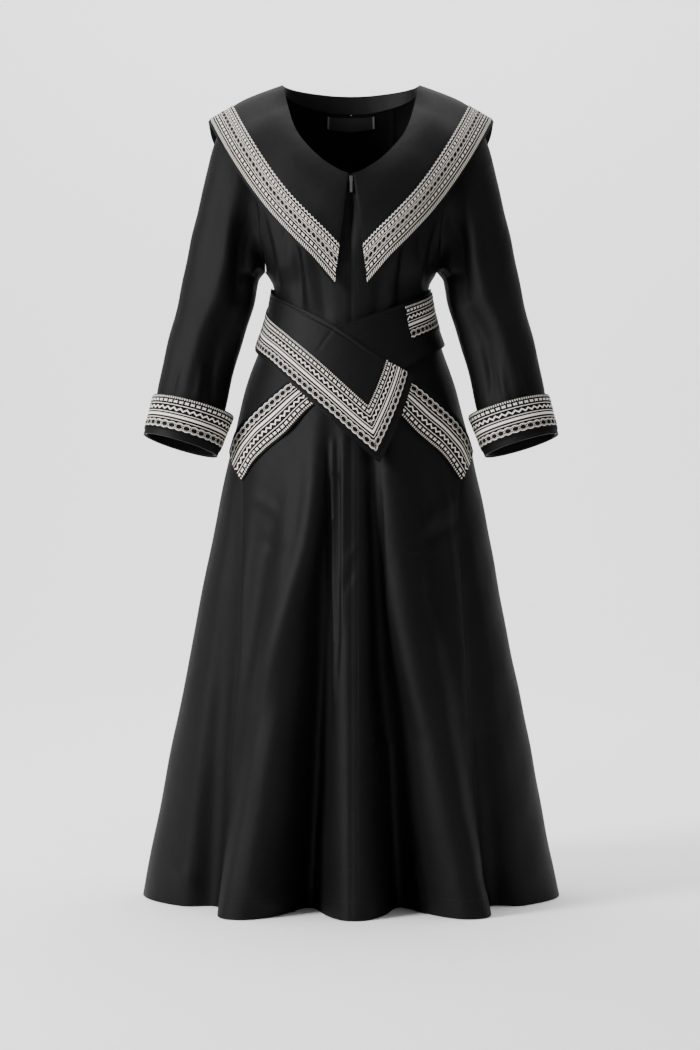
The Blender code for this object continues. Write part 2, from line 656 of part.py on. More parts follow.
def add_pockets(cloth, thread, parent):
    """Slanted welts that lie on the skirt and gape a little along their upper edge."""
    places = np.linspace(0, 1, 11)
    top_angle, top, bottom_angle, bottom = np.moveaxis(welt_at(places), -1, 0)
    share = np.array([0.0, 0.06, 0.35, 0.65, 0.97, 1.0])[:, None]
    angle = top_angle * (1 - share) + bottom_angle * share
    height = top * (1 - share) + bottom * share
    points = skirt_point(-1, angle, height)
    middle = points * np.array([0.0, 0.0, 1.0])
    normals = surface_normals(lambda a, h: skirt_point(-1, a, h), angle, height, middle)
    lift = WELT_LIFT + CLOTH + WELT_GAPE * (1 - share) ** 2
    points = points + normals * lift[..., None]
    for side, sign in (("right", 1), ("left", -1)):
        base = skirt_point(-1, sign * angle, height)
        faced = surface_normals(lambda a, h: skirt_point(-1, a, h), sign * angle, height, middle)
        base = base + faced * lift[..., None]
        wall(f"pocket_welt_{side}", base, faced, CLOTH, cloth, parent)
        band = (base + faced * (GAP + TRIM))[1:5]
        wall(f"trim_pocket_{side}", band, faced[1:5], TRIM, thread, parent)


def box(name, centre, size, finish, parent, location=(0.0, 0.0, 0.0)):
    corners = [(x, y, z) for x in (-0.5, 0.5) for y in (-0.5, 0.5) for z in (-0.5, 0.5)]
    vertices = np.array(corners) * np.array(size) + np.array(centre)
    faces = [(0, 1, 3, 2), (4, 6, 7, 5), (0, 4, 5, 1), (2, 3, 7, 6), (0, 2, 6, 4), (1, 5, 7, 3)]
    return add_object(name, vertices, faces, finish, parent, location)


def union(whole, others):
    for other in others:
        other.hide_render = True
        other.display_type = "WIRE"
        joined = whole.modifiers.new(other.name, "BOOLEAN")
        joined.operation = "UNION"
        joined.object = other


def add_zip(cloth, metal, parent):
    """The tape behind the fronts, and at its top a slider whose pull hangs from two ears."""
    heights = [h for h in LOWER_HEIGHTS if h > ZIP_END] + yoke_heights()[:-1]
    heights = [ZIP_END] + heights
    first = FRONT_COLUMNS[1]
    points, normals = body_grid(-1, [-first, 0.0, first], heights)
    across = unit(points[:, 2] - points[:, 1])
    points[:, 2] = points[:, 1] + across * TAPE_HALF
    across = unit(points[:, 0] - points[:, 1])
    points[:, 0] = points[:, 1] + across * TAPE_HALF
    wall("zip_tape", points - normals * (CLOTH + LAY), normals, TRIM, cloth, parent)

    top = neck_point(np.array(0.0))[2] - GAP
    middle = top - SLIDER_SIZE[2] / 2
    cloth_front = body_point(-1, np.array(0.0), np.array(ARMPIT * 0.07))[1]
    face = cloth_front - GAP - SLIDER_SIZE[1]
    slider = box(
        "zip_slider", (0.0, face + SLIDER_SIZE[1] / 2, middle), SLIDER_SIZE, metal, parent
    )
    axis = (0.0, face - PULL_AXIS_OUT, middle + SLIDER_SIZE[2] / 2 - EAR_SIZE[2] / 2)
    ears = []
    for name, side in (("ear_a", -0.5), ("ear_b", 0.5)):
        centre = (side * (EAR_SPACING + EAR_SIZE[0]), face - EAR_SIZE[1] / 2 + EAR_SUNK, axis[2])
        ears.append(box(name, centre, EAR_SIZE, metal, parent))
    union(slider, ears)
    pull = box("zip_pull", (0.0, 0.0, PULL_TOP - NECK_SIZE[2] / 2), NECK_SIZE, metal, parent, axis)
    tab = box("tab", (0.0, 0.0, -TAB_START - TAB_SIZE[2] / 2), TAB_SIZE, metal, parent, axis)
    union(pull, [tab])
    return axis


def add_label(finish, parent):
    """The bare label inside the back neck, below the stand."""
    width = LABEL_HALF_WIDTH / ROLL_HALF_WIDTH * NECK_SHARE
    points, normals = body_grid(1, np.linspace(-width, width, 5), LABEL_ROWS)
    wall("neck_label", points - normals * (CLOTH + LABEL_LAY), normals, TRIM, finish, parent)


def main():
    for old in list(bpy.data.objects):
        bpy.data.objects.remove(old)
    dress = bpy.data.objects.new("party_dress", None)
    bpy.context.collection.objects.link(dress)
    cloth = material("black_cotton", CLOTH_BLACK, 0.75)
    thread = material("white_thread_on_black", THREAD, 0.8)
    label = material("woven_label", LABEL_BLACK, 0.6)
    metal = material("zip_metal", ZIP_METAL, 0.3, 1.0)
    add_body(cloth, dress)
    add_stand(cloth, dress)
    add_collar(cloth, thread, dress)
    add_sleeves(cloth, thread, dress)
    add_belt(cloth, thread, dress)
    add_pockets(cloth, thread, dress)
    add_zip(cloth, metal, dress)
    add_label(label, dress)


main()
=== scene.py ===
# %% [markdown]
# # A black coat-dress with embroidered bands
# The dress stands filled out as worn. Its construction model is already there as a fixed frame, and this
# lesson puts the cloth, the bands of white thread, the zip, the light and the camera around it.
# Every piece is a surface worked out with numpy from the cut's own sizes, in metres: the front faces -Y,
# +X is on the right as seen from the front, and the origin lies between the shoulders at the neck.

# %% The frame
import math

import bpy
import numpy as np
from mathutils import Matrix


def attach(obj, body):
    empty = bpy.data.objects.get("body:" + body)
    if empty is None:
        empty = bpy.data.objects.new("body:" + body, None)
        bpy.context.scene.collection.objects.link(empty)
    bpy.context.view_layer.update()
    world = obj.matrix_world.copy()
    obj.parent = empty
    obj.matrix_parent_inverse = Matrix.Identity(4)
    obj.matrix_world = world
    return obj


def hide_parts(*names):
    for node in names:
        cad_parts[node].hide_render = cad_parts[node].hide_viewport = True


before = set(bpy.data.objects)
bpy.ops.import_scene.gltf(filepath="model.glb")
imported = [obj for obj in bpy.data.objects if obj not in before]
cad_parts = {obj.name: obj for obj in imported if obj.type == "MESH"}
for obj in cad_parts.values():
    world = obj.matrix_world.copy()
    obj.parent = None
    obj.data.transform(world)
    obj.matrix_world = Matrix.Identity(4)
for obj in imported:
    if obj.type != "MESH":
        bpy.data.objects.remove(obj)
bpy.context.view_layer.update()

# %% [markdown]
# ## Curves through a few rows
# A pattern maker knows a garment by a few measured levels: the bust, the waist, the hip and the hem. A
# smooth curve through such rows gives every level between them. Splines can swing past their rows and
# make a waist too narrow, so this one limits its slopes to stay between neighbours.

# %% Curve helpers


def smooth_curve(rows):
    """A smooth curve through rows of (place, value, ...). Each stretch is a cubic whose end slopes are the
    harmonic mean of the slopes beside it, so it never swings past its rows."""
    rows = np.array(sorted(rows), float)
    places, values = rows[:, 0], rows[:, 1:]
    steps = np.diff(places)
    slopes = np.diff(values, axis=0) / steps[:, None]
    both = slopes[:-1] * slopes[1:]
    total = slopes[:-1] + slopes[1:]
    inner = np.where(both > 0, 2 * both / np.where(total == 0, 1, total), 0)
    tangents = np.vstack([slopes[:1], inner, slopes[-1:]])

    def at(place):
        place = np.clip(np.asarray(place, float), places[0], places[-1])
        i = np.clip(np.searchsorted(places, place, side="right") - 1, 0, len(steps) - 1)
        f = ((place - places[i]) / steps[i])[..., None]
        step = steps[i][..., None]
        start = (1 + 2 * f) * (1 - f) ** 2 * values[i] + f * (1 - f) ** 2 * step * tangents[i]
        end = f * f * (3 - 2 * f) * values[i + 1] - f * f * (1 - f) * step * tangents[i + 1]
        return start + end

    return at


def mirrored_ends(rows, odd):
    """The rows with two more beyond each end, mirrored there, so that the curve runs level across it."""
    rows = [tuple(row) for row in rows]

    def mirror_row(row, end):
        flipped = [-value if i in odd else value for i, value in enumerate(row)]
        flipped[0] = 2 * end - row[0]
        return tuple(flipped)

    first, last = rows[0][0], rows[-1][0]
    before = [mirror_row(row, first) for row in rows[2:0:-1]]
    after = [mirror_row(row, last) for row in rows[-2:-4:-1]]
    return before + rows + after


def unit(vectors):
    """Each vector divided by its own length."""
    return vectors / np.linalg.norm(vectors, axis=-1, keepdims=True)


def ease(value, low, high):
    """0 below low, 1 above high, and 3t^2 - 2t^3 between them."""
    t = np.clip((value - low) / (high - low), 0, 1)
    return t * t * (3 - 2 * t)


# %% [markdown]
# ## Cloth from a grid of points
# Real cloth has two faces and a cut edge. A Solidify modifier could give it thickness, but here the inner
# face is the outer grid moved in along its normals, so that every seam edge stays where the cut puts it.
# The rim runs along each edge that only one cell uses. A UV map holds arc lengths in metres, so the weave
# and the stitches keep their real size wherever the panel widens.

# %% Cloth helpers
GAP = 0.0003
CLOTH = 0.0015
STIFF_CLOTH = 0.002
TRIM = 0.001
SIDES = {"right": 1, "left": -1}
pieces_made = []


def arc_lengths(points):
    """Distances in metres along the rows and down the columns of a grid, measured from its first corner.
    Each is the running sum of the lengths of the grid's edges."""
    across = np.linalg.norm(np.diff(points, axis=1), axis=-1)
    down = np.linalg.norm(np.diff(points, axis=0), axis=-1)
    u = np.concatenate([np.zeros((len(points), 1)), np.cumsum(across, axis=1)], axis=1)
    v = np.concatenate([np.zeros((1, points.shape[1])), np.cumsum(down, axis=0)], axis=0)
    return u - u[:, u.shape[1] // 2][:, None], v


def mesh_object(name, vertices, faces, finish, uv=None):
    """An object at the origin from arrays of vertices and of faces, with a UV pair for each vertex."""
    mesh = bpy.data.meshes.new(name)
    mesh.from_pydata(vertices, [], faces)
    if uv is not None:
        corners = np.empty(len(mesh.loops), np.int32)
        mesh.loops.foreach_get("vertex_index", corners)
        layer = mesh.uv_layers.new(name="UVMap")
        layer.data.foreach_set("uv", np.ascontiguousarray(uv[corners], np.float32).ravel())
    mesh.materials.append(finish)
    mesh.shade_smooth()
    mesh.set_sharp_from_angle(angle=math.radians(50))
    made = bpy.data.objects.new(name, mesh)
    bpy.context.collection.objects.link(made)
    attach(made, "dress")
    pieces_made.append(name)
    return made


def cloth_piece(name, outer, normals, thickness, finish, uv=None, around=False, cells=None):
    """A closed sheet. Outer is a grid of points, the inner face lies a thickness behind it, and each edge
    that one cell alone uses gets a rim. Around closes the last column onto the first."""
    if around:
        outer = np.concatenate([outer, outer[:, :1]], axis=1)
        normals = np.concatenate([normals, normals[:, :1]], axis=1)
    if uv is None:
        uv = np.stack(arc_lengths(outer), -1)
    elif around:
        uv = np.concatenate([uv, uv[:, -1:] * 2 - uv[:, -2:-1]], axis=1)
    index = np.arange(outer.shape[0] * outer.shape[1]).reshape(outer.shape[:2])
    quads = np.stack([index[:-1, :-1], index[:-1, 1:], index[1:, 1:], index[1:, :-1]], -1)
    quads = quads[cells] if cells is not None else quads.reshape(-1, 4)
    turned = np.cross(outer[0, 1] - outer[0, 0], outer[1, 0] - outer[0, 0])
    if np.dot(turned, normals[0, 0]) < 0:
        quads = quads[:, ::-1]
    below = index.size
    starts, ends = quads.ravel(), np.roll(quads, -1, axis=1).ravel()
    if around:
        last, first = index[:, -1], index[:, 0]
        same = np.arange(below)
        same[last] = first
        starts, ends = same[starts], same[ends]
    alone = ~np.isin(starts * below + ends, ends * below + starts)
    starts, ends = starts[alone], ends[alone]
    rims = np.stack([ends, starts, starts + below, ends + below], -1)
    if around:
        quads = same[quads]
    vertices = np.concatenate([outer.reshape(-1, 3), (outer - normals * thickness).reshape(-1, 3)])
    faces = np.concatenate([quads, quads[:, ::-1] + below, rims])
    used, compact = np.unique(faces, return_inverse=True)
    both = np.concatenate([uv.reshape(-1, 2)] * 2)[used]
    return mesh_object(name, vertices[used], compact.reshape(faces.shape), finish, both)


def mirror(grid):
    """The same points or normals on the other side of the dress: x changes sign."""
    return grid * np.array([-1.0, 1.0, 1.0])


def on_side(side, *grids):
    """The grids as they are on the right, and mirrored on the left."""
    return [mirror(grid) for grid in grids] if side == "left" else list(grids)


def on_axis(points):
    """The points' own heights on the upright axis, which lies inside the body."""
    return points * np.array([0.0, 0.0, 1.0])


def distance_along(row):
    """The running sum of the steps between a row's points, from 0."""
    return np.concatenate([[0], np.cumsum(np.linalg.norm(np.diff(row, axis=0), axis=-1))])


def sewn_piece(name, node, outer, normals, thickness, finish, **options):
    """A sheet that stands for a node of the frame and hides that node, all round where it is a tube."""
    made = cloth_piece(name, outer, normals, thickness, finish, **options)
    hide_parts(node)
    return made


# %% [markdown]
# ## The finishes
# The dress is of plain black cotton twill with a faint sheen, the bands are the same cloth under white
# thread, and the zip is bright metal. Twill shows as fine slanting ribs. A picture of cloth could be laid
# on it, but ribs computed from the UV map's metres keep their size on every piece and from every side.
# Effects that several finishes use are node groups.

# %% A small language for math nodes


class Nodes:
    """Adds nodes to one tree, so that a formula reads from left to right."""

    def __init__(self, tree):
        self.tree = tree

    def add(self, kind, **values):
        node = self.tree.nodes.new(kind)
        for key, value in values.items():
            setattr(node, key, value)
        return node

    def feed(self, socket, value):
        if isinstance(value, bpy.types.NodeSocket):
            self.tree.links.new(value, socket)
        else:
            socket.default_value = value

    def math(self, operation, *values):
        node = self.add("ShaderNodeMath", operation=operation)
        for socket, value in zip(node.inputs, values):
            self.feed(socket, value)
        return node.outputs[0]

    def noise(self, vector, scale, detail=2.0):
        node = self.add("ShaderNodeTexNoise")
        self.feed(node.inputs["Vector"], vector)
        node.inputs["Scale"].default_value = scale
        node.inputs["Detail"].default_value = detail
        return node.outputs["Fac"]

    def mix(self, share, first, second):
        node = self.add("ShaderNodeMix", data_type="RGBA")
        self.feed(node.inputs[0], share)
        self.feed(node.inputs[6], first)
        self.feed(node.inputs[7], second)
        return node.outputs[2]


def new_group(name, outputs, inputs=()):
    """A node group with a Vector input, float inputs with values, and float outputs."""
    tree = bpy.data.node_groups.new(name, "ShaderNodeTree")
    tree.interface.new_socket("Vector", in_out="INPUT", socket_type="NodeSocketVector")
    for label, value in inputs:
        socket = tree.interface.new_socket(label, in_out="INPUT", socket_type="NodeSocketFloat")
        socket.default_value = value
    for label in outputs:
        tree.interface.new_socket(label, in_out="OUTPUT", socket_type="NodeSocketFloat")
    n = Nodes(tree)
    start = n.add("NodeGroupInput")
    end = n.add("NodeGroupOutput")
    return n, start, end


# %% [markdown]
# ## Twill
# Twill is woven in slanting ribs under a millimetre apart, and a length of it puckers slowly over a few
# centimetres. Ribs as geometry would cost millions of faces, so they go to the bump, and a slow noise
# makes the black a little uneven, as dyed cotton is.

# %% Twill: slanting ribs and a slow unevenness
RIB = 0.0009
RIB_HEIGHT = 0.00006
PUCKER_HEIGHT = 0.0011


def twill_group():
    """Height, in metres, is a sine of (u + 0.6 v) with one rib each 0.9 mm, and soft puckers a few
    centimetres wide. Mottle is slow noise round 1."""
    n, start, end = new_group("twill", ("Height", "Mottle"))
    split = n.add("ShaderNodeSeparateXYZ")
    n.feed(split.inputs[0], start.outputs["Vector"])
    slant = n.math("ADD", split.outputs[0], n.math("MULTIPLY", split.outputs[1], 0.6))
    rib = n.math("SINE", n.math("MULTIPLY", slant, 2 * math.pi / RIB))
    slub = n.noise(start.outputs["Vector"], 900.0)
    fine_height = n.math("MULTIPLY", n.math("ADD", n.math("MULTIPLY", rib, 0.5), slub), RIB_HEIGHT)
    pucker = n.math("MULTIPLY", n.noise(start.outputs["Vector"], 42.0, 3.0), PUCKER_HEIGHT)
    n.feed(end.inputs["Height"], n.math("ADD", fine_height, pucker))
    slow = n.noise(start.outputs["Vector"], 9.0, 4.0)
    fine = n.noise(start.outputs["Vector"], 140.0, 3.0)
    mottle = n.math("ADD", n.math("MULTIPLY", slow, 0.35), n.math("MULTIPLY", fine, 0.25))
    n.feed(end.inputs["Mottle"], n.math("ADD", mottle, 0.7))
    return n.tree


TWILL = twill_group()

# %% [markdown]
# ## Bands of white thread
# Each band is a strip of the same black cloth under rows of white stitches: waves, blocks, arches over
# discs, small flowers and plain lines. Each stitch could be a mesh, but a row is a rule that repeats, so
# a table gives the rows and one node group draws them. Their relief is raised in the mesh later on.

# %% The two bands of thread
STRAND = 0.0014
# Rows from the band's first edge to its last: kind, start and end as shares of the width, repeat in metres
COLLAR_ROWS = (
    ("wave", 0.00, 0.10, 0.0080),
    ("line", 0.138, 0.160, 0.0),
    ("blocks", 0.195, 0.265, 0.0086),
    ("line", 0.300, 0.320, 0.0),
    ("arches up", 0.345, 0.400, 0.0117),
    ("discs", 0.375, 0.515, 0.0117),
    ("arches down", 0.490, 0.545, 0.0117),
    ("line", 0.580, 0.600, 0.0),
    ("flowers", 0.635, 0.745, 0.0100),
    ("line", 0.782, 0.802, 0.0),
    ("ticks", 0.855, 0.965, 0.0040),
)
BAND_ROWS = (
    ("ticks", 0.00, 0.055, 0.0038),
    ("flowers", 0.085, 0.185, 0.0092),
    ("line", 0.222, 0.242, 0.0),
    ("wave", 0.285, 0.405, 0.0108),
    ("line", 0.446, 0.466, 0.0),
    ("line", 0.512, 0.582, 0.0),
    ("line", 0.640, 0.660, 0.0),
    ("arches up", 0.705, 0.765, 0.0126),
    ("discs", 0.740, 0.890, 0.0126),
    ("arches down", 0.865, 0.925, 0.0126),
)


def thread_group(name, rows):
    """Thread is 1 where white thread lies and Height its roundness. The vector holds metres along the band
    and the share of its width. Within a row t runs from 0 to 1 across it, and x from 0 to 1 each repeat.
    Ticks: x < 0.42. Blocks: x < 0.6. Wave: |t - zigzag(x)| < 0.2. Arches: |t - |sin(pi x)|| < 0.2, with t
    counted from either side. Discs: a thin ring round a black middle. Flowers: four petals, where the
    distance from the middle is under 0.18 + 0.26 |sin| of twice its angle."""
    n, start, end = new_group(name, ("Thread", "Height"))
    split = n.add("ShaderNodeSeparateXYZ")
    n.feed(split.inputs[0], start.outputs["Vector"])
    along, share = split.outputs[0], split.outputs[1]
    thread = None
    for kind, first, last, repeat in rows:
        t = n.math("DIVIDE", n.math("SUBTRACT", share, first), last - first)
        inside = n.math("MULTIPLY", n.math("GREATER_THAN", t, 0.0), n.math("LESS_THAN", t, 1.0))
        if kind != "line":
            x = n.math("FRACT", n.math("DIVIDE", along, repeat))
            middle_x = n.math("SUBTRACT", x, 0.5)
            middle_t = n.math("SUBTRACT", t, 0.5)
            squares = (n.math("MULTIPLY", middle_x, middle_x), n.math("MULTIPLY", middle_t, middle_t))
            away = n.math("SQRT", n.math("ADD", *squares))
        if kind == "ticks":
            inside = n.math("MULTIPLY", inside, n.math("LESS_THAN", x, 0.42))
        elif kind == "blocks":
            inside = n.math("MULTIPLY", inside, n.math("LESS_THAN", x, 0.6))
        elif kind == "wave":
            zigzag = n.math("ADD", 0.2, n.math("MULTIPLY", n.math("ABSOLUTE", middle_x), 1.2))
            near = n.math("ABSOLUTE", n.math("SUBTRACT", t, zigzag))
            inside = n.math("MULTIPLY", inside, n.math("LESS_THAN", near, 0.2))
        elif kind.startswith("arches"):
            arch = n.math("ABSOLUTE", n.math("SINE", n.math("MULTIPLY", x, math.pi)))
            arch = n.math("ADD", 0.2, n.math("MULTIPLY", arch, 0.6))
            place = n.math("SUBTRACT", 1.0, t) if kind == "arches up" else t
            near = n.math("ABSOLUTE", n.math("SUBTRACT", place, arch))
            inside = n.math("MULTIPLY", inside, n.math("LESS_THAN", near, 0.2))
        elif kind == "discs":
            ring = n.math("MULTIPLY", n.math("GREATER_THAN", away, 0.41), n.math("LESS_THAN", away, 0.46))
            inside = n.math("MULTIPLY", inside, ring)
        elif kind == "flowers":
            angle = n.math("ARCTAN2", middle_t, middle_x)
            petal = n.math("ABSOLUTE", n.math("SINE", n.math("MULTIPLY", angle, 2.0)))
            reach = n.math("ADD", n.math("MULTIPLY", petal, 0.26), 0.18)
            near = n.math("LESS_THAN", away, reach)
            inside = n.math("MULTIPLY", inside, near)
        thread = inside if thread is None else n.math("MAXIMUM", thread, inside)
    n.feed(end.inputs["Thread"], thread)
    strand = n.math("SINE", n.math("MULTIPLY", along, 2 * math.pi / STRAND))
    round_strand = n.math("ADD", n.math("MULTIPLY", strand, 0.12), 1.0)
    n.feed(end.inputs["Height"], n.math("MULTIPLY", thread, round_strand))
    return n.tree


COLLAR_THREAD = thread_group("collar thread", COLLAR_ROWS)
BAND_THREAD = thread_group("band thread", BAND_ROWS)

# %% [markdown]
# ## From groups to finishes
# A finish joins one Principled shader to the groups. A number that is the same all over a piece is set
# on the shader itself, and only what changes over the surface comes through nodes.

# %% The materials
CLOTH_COLOUR = (0.0024, 0.0024, 0.0027, 1.0)
THREAD_COLOUR = (0.70, 0.655, 0.60, 1.0)
METAL_COLOUR = (0.36, 0.36, 0.37, 1.0)


def new_material(name, roughness):
    made = bpy.data.materials.new(name)
    made.use_nodes = True
    n = Nodes(made.node_tree)
    shader = made.node_tree.nodes["Principled BSDF"]
    shader.inputs["Roughness"].default_value = roughness
    return made, n, shader


def place_group(n, tree, vector):
    node = n.add("ShaderNodeGroup", node_tree=tree)
    n.feed(node.inputs["Vector"], vector)
    return node


def bump(n, shader, height, distance, strength=0.5):
    node = n.add("ShaderNodeBump")
    node.inputs["Distance"].default_value = distance
    node.inputs["Strength"].default_value = strength
    n.feed(node.inputs["Height"], height)
    n.feed(shader.inputs["Normal"], node.outputs["Normal"])


def scaled_colour(n, factor, colour):
    """The colour times a factor that varies over the surface."""
    node = n.add("ShaderNodeVectorMath", operation="SCALE")
    node.inputs[0].default_value = colour[:3]
    n.feed(node.inputs["Scale"], factor)
    return node.outputs[0]


def cloth_material(name, colour, roughness, specular):
    made, n, shader = new_material(name, roughness)
    uv = n.add("ShaderNodeUVMap", uv_map="UVMap").outputs[0]
    twill = place_group(n, TWILL, uv)
    n.feed(shader.inputs["Base Color"], scaled_colour(n, twill.outputs["Mottle"], colour))
    shader.inputs["Specular IOR Level"].default_value = specular
    bump(n, shader, twill.outputs["Height"], 1.0, 0.7)
    return made


def band_material(name, threads):
    made, n, shader = new_material(name, 0.72)
    shader.inputs["Specular IOR Level"].default_value = 0.10
    uv = n.add("ShaderNodeUVMap", uv_map="UVMap").outputs[0]
    thread = place_group(n, threads, uv)
    noise = n.math("ADD", n.math("MULTIPLY", n.noise(uv, 300.0), 0.9), 0.62)
    white = scaled_colour(n, noise, THREAD_COLOUR)
    n.feed(shader.inputs["Base Color"], n.mix(thread.outputs["Thread"], CLOTH_COLOUR, white))
    bump(n, shader, thread.outputs["Height"], 0.0004, 0.45)
    return made


cloth = cloth_material("black cotton twill", CLOTH_COLOUR, 0.60, 0.13)
stitch_thread = cloth_material("black sewing thread", (0.006, 0.006, 0.007, 1.0), 0.45, 0.22)
collar_band = band_material("collar band", COLLAR_THREAD)
sewn_band = band_material("sewn band", BAND_THREAD)
metal, metal_nodes, metal_shader = new_material("zip metal", 0.28)
metal_shader.inputs["Metallic"].default_value = 1.0
metal_place = metal_nodes.add("ShaderNodeTexCoord").outputs["Object"]
worn = metal_nodes.math("ADD", metal_nodes.math("MULTIPLY", metal_nodes.noise(metal_place, 600.0), 0.3), 0.8)
metal_nodes.feed(metal_shader.inputs["Base Color"], scaled_colour(metal_nodes, worn, METAL_COLOUR))
print("materials", [m.name for m in bpy.data.materials])

# %% [markdown]
# ## The form of the body
# The body is an oval at each level, wider at the bust, drawn in at the waist and flared to the hem. Below
# the hip the cloth hangs in flutes, which start as nothing and grow on their way down. Simulated cloth
# would fall into folds of its own choosing, and these have their own places, so each is a rounded push
# outwards or inwards round a line from one angle at the hip to another at the hem.

# %% Body sizes
HEM = -1.362
ARMPIT = -0.306
FOLD_TOP = -0.50
FOLD_GROWTH = 1.4
# Height, half width, front depth, back depth
BODY = (
    (HEM, 0.354, 0.215, 0.222),
    (-1.000, 0.282, 0.190, 0.204),
    (-0.660, 0.215, 0.168, 0.184),
    (-0.520, 0.183, 0.150, 0.158),
    (-0.430, 0.152, 0.134, 0.128),
    (-0.385, 0.134, 0.128, 0.110),
    (-0.335, 0.1315, 0.1325, 0.107),
    (ARMPIT, 0.146, 0.138, 0.116),
)
# Seam between the front or back and the side panel: height, angle from the centre
SIDE_SEAM = (
    (HEM, 37.0),
    (-0.990, 42.5),
    (-0.730, 53.0),
    (-0.665, 57.5),
    (-0.613, 76.0),
    (-0.550, 83.0),
    (-0.430, 84.0),
    (ARMPIT, 85.0),
)
# Angle at the top, angle at the hem, half width, push outwards at the hem
FRONT_FLUTES = (
    (-60.0, -42.0, 6.0, -0.030),
    (-20.0, -27.5, 8.8, 0.078),
    (-9.0, -12.2, 4.2, -0.060),
    (0.0, 0.8, 6.8, 0.062),
    (12.0, 14.6, 4.6, -0.060),
    (20.0, 29.5, 8.4, 0.076),
    (54.0, 43.5, 5.5, -0.030),
)
BACK_FLUTES = (
    (-62.0, -49.0, 6.0, -0.028),
    (-30.0, -33.0, 9.0, 0.060),
    (-13.0, -17.5, 4.8, -0.052),
    (2.0, 0.0, 8.0, 0.054),
    (17.0, 17.0, 4.8, -0.055),
    (30.0, 32.5, 9.0, 0.064),
    (60.0, 48.5, 6.0, -0.028),
)
FLUTE_FLATNESS = 2.6
# Roll line of the collar: place, x, y, z, height of the stand below it
ROLL = (
    (0.00, 0.0000, -0.1330, -0.1580, 0.004),
    (0.15, 0.0366, -0.1220, -0.1410, 0.005),
    (0.30, 0.0710, -0.1010, -0.1085, 0.006),
    (0.42, 0.0950, -0.0750, -0.0720, 0.008),
    (0.52, 0.1070, -0.0420, -0.0325, 0.011),
    (0.62, 0.1156, 0.0000, 0.0105, 0.014),
    (0.67, 0.1085, 0.0300, 0.0112, 0.018),
    (0.74, 0.0870, 0.0530, 0.0098, 0.024),
    (0.83, 0.0550, 0.0680, 0.0080, 0.029),
    (0.92, 0.0260, 0.0745, 0.0065, 0.032),
    (1.00, 0.0000, 0.0760, 0.0060, 0.032),
)
ROLL_SHOULDER = 0.62
ROLL_HALF_WIDTH = 0.1156
NECK_SHARE = 0.6
STAND_LIFT = 0.0013
SHOULDER_TIP = (0.186, 0.0, -0.036)
BACK_BLADE = 0.022
NECK_CENTRE = np.array([0.0, -0.03, 0.0])
# Sleeve rings: place, inner x and z, outer x and z, centre y, half depth, tilt, scoop
SLEEVE = (
    (0.00, 0.1460, -0.3060, 0.1860, -0.0360, 0.000, 0.0780, 0.0, 0.007),
    (0.08, 0.1480, -0.3090, 0.2150, -0.0540, 0.000, 0.0770, 0.0, 0.004),
    (0.16, 0.1515, -0.3135, 0.2370, -0.1000, -0.001, 0.0755, 0.0, 0.002),
    (0.26, 0.1555, -0.3200, 0.2560, -0.1840, -0.004, 0.0730, 1.0, 0.000),
    (0.40, 0.1585, -0.3340, 0.2740, -0.2690, -0.010, 0.0700, 3.0, 0.000),
    (0.52, 0.1630, -0.3600, 0.2920, -0.3540, -0.019, 0.0660, 5.0, 0.000),
    (0.75, 0.1900, -0.4520, 0.3110, -0.4390, -0.034, 0.0620, 6.5, 0.000),
    (0.90, 0.2120, -0.5470, 0.3255, -0.5215, -0.054, 0.0585, 7.0, 0.000),
    (1.00, 0.2273, -0.6190, 0.3432, -0.5850, -0.067, 0.0585, 7.0, 0.000),
)
ARMHOLE_START = 5.0

body_at = smooth_curve(BODY)
side_seam_at = smooth_curve(SIDE_SEAM)
roll_at = smooth_curve(mirrored_ends(ROLL, odd=(1,)))
sleeve_at = smooth_curve(SLEEVE)

# %% [markdown]
# ## One surface for the whole body
# Below the armpits each level is an oval with flutes. Above them the body narrows to a neck and two
# armholes, which no oval can follow, so that part is blended from its four edges. One function joins
# both, and each panel, pocket and stitch is read from it, so that all of them meet.

# %% Body surface


def flute_push(face, angle, height):
    """How far the flutes push the skirt outwards: for each, depth * exp(-|off / half width|^flatness) round
    its line, times the growth from FOLD_TOP to the hem."""
    grown = np.clip((FOLD_TOP - height) / (FOLD_TOP - HEM), 0, None)
    push = np.zeros_like(grown * angle)
    for top_angle, hem_angle, half_width, depth in FRONT_FLUTES if face < 0 else BACK_FLUTES:
        centre = hem_angle + (top_angle - hem_angle) * (1 - np.clip(grown, 0, 1))
        push = push + depth * np.exp(-(np.abs((angle - centre) / half_width) ** FLUTE_FLATNESS))
    return push * grown**FOLD_GROWTH


def skirt_point(face, angle, height):
    """A point below the armpits: (half * sin, depth * cos) of the angle, pushed out by the flutes."""
    half, front, back = np.moveaxis(body_at(height), -1, 0)
    depth = front if face < 0 else back
    turn = np.radians(angle)
    out = unit(np.stack([depth * np.sin(turn), face * half * np.cos(turn), 0 * turn * depth], -1))
    base = np.stack([half * np.sin(turn), face * depth * np.cos(turn), height + 0 * turn], -1)
    return base + out * flute_push(face, angle, height)[..., None]


def neck_point(place):
    """The neck seam, below the roll line by the height of the stand."""
    rolled = roll_at(place)
    return rolled[..., :3] - rolled[..., 3:] * np.array([0, 0, 1])


def top_edge_point(face, share):
    """Neck seam from the centre to the shoulder, then the straight shoulder seam to its tip."""
    along = np.clip(share / NECK_SHARE, None, 1)
    place = ROLL_SHOULDER * along if face < 0 else 1 - (1 - ROLL_SHOULDER) * along
    out = ((share - NECK_SHARE) / (1 - NECK_SHARE))[..., None]
    corner = neck_point(np.array(ROLL_SHOULDER))
    return np.where(out > 0, corner + (np.array(SHOULDER_TIP) - corner) * out, neck_point(place))


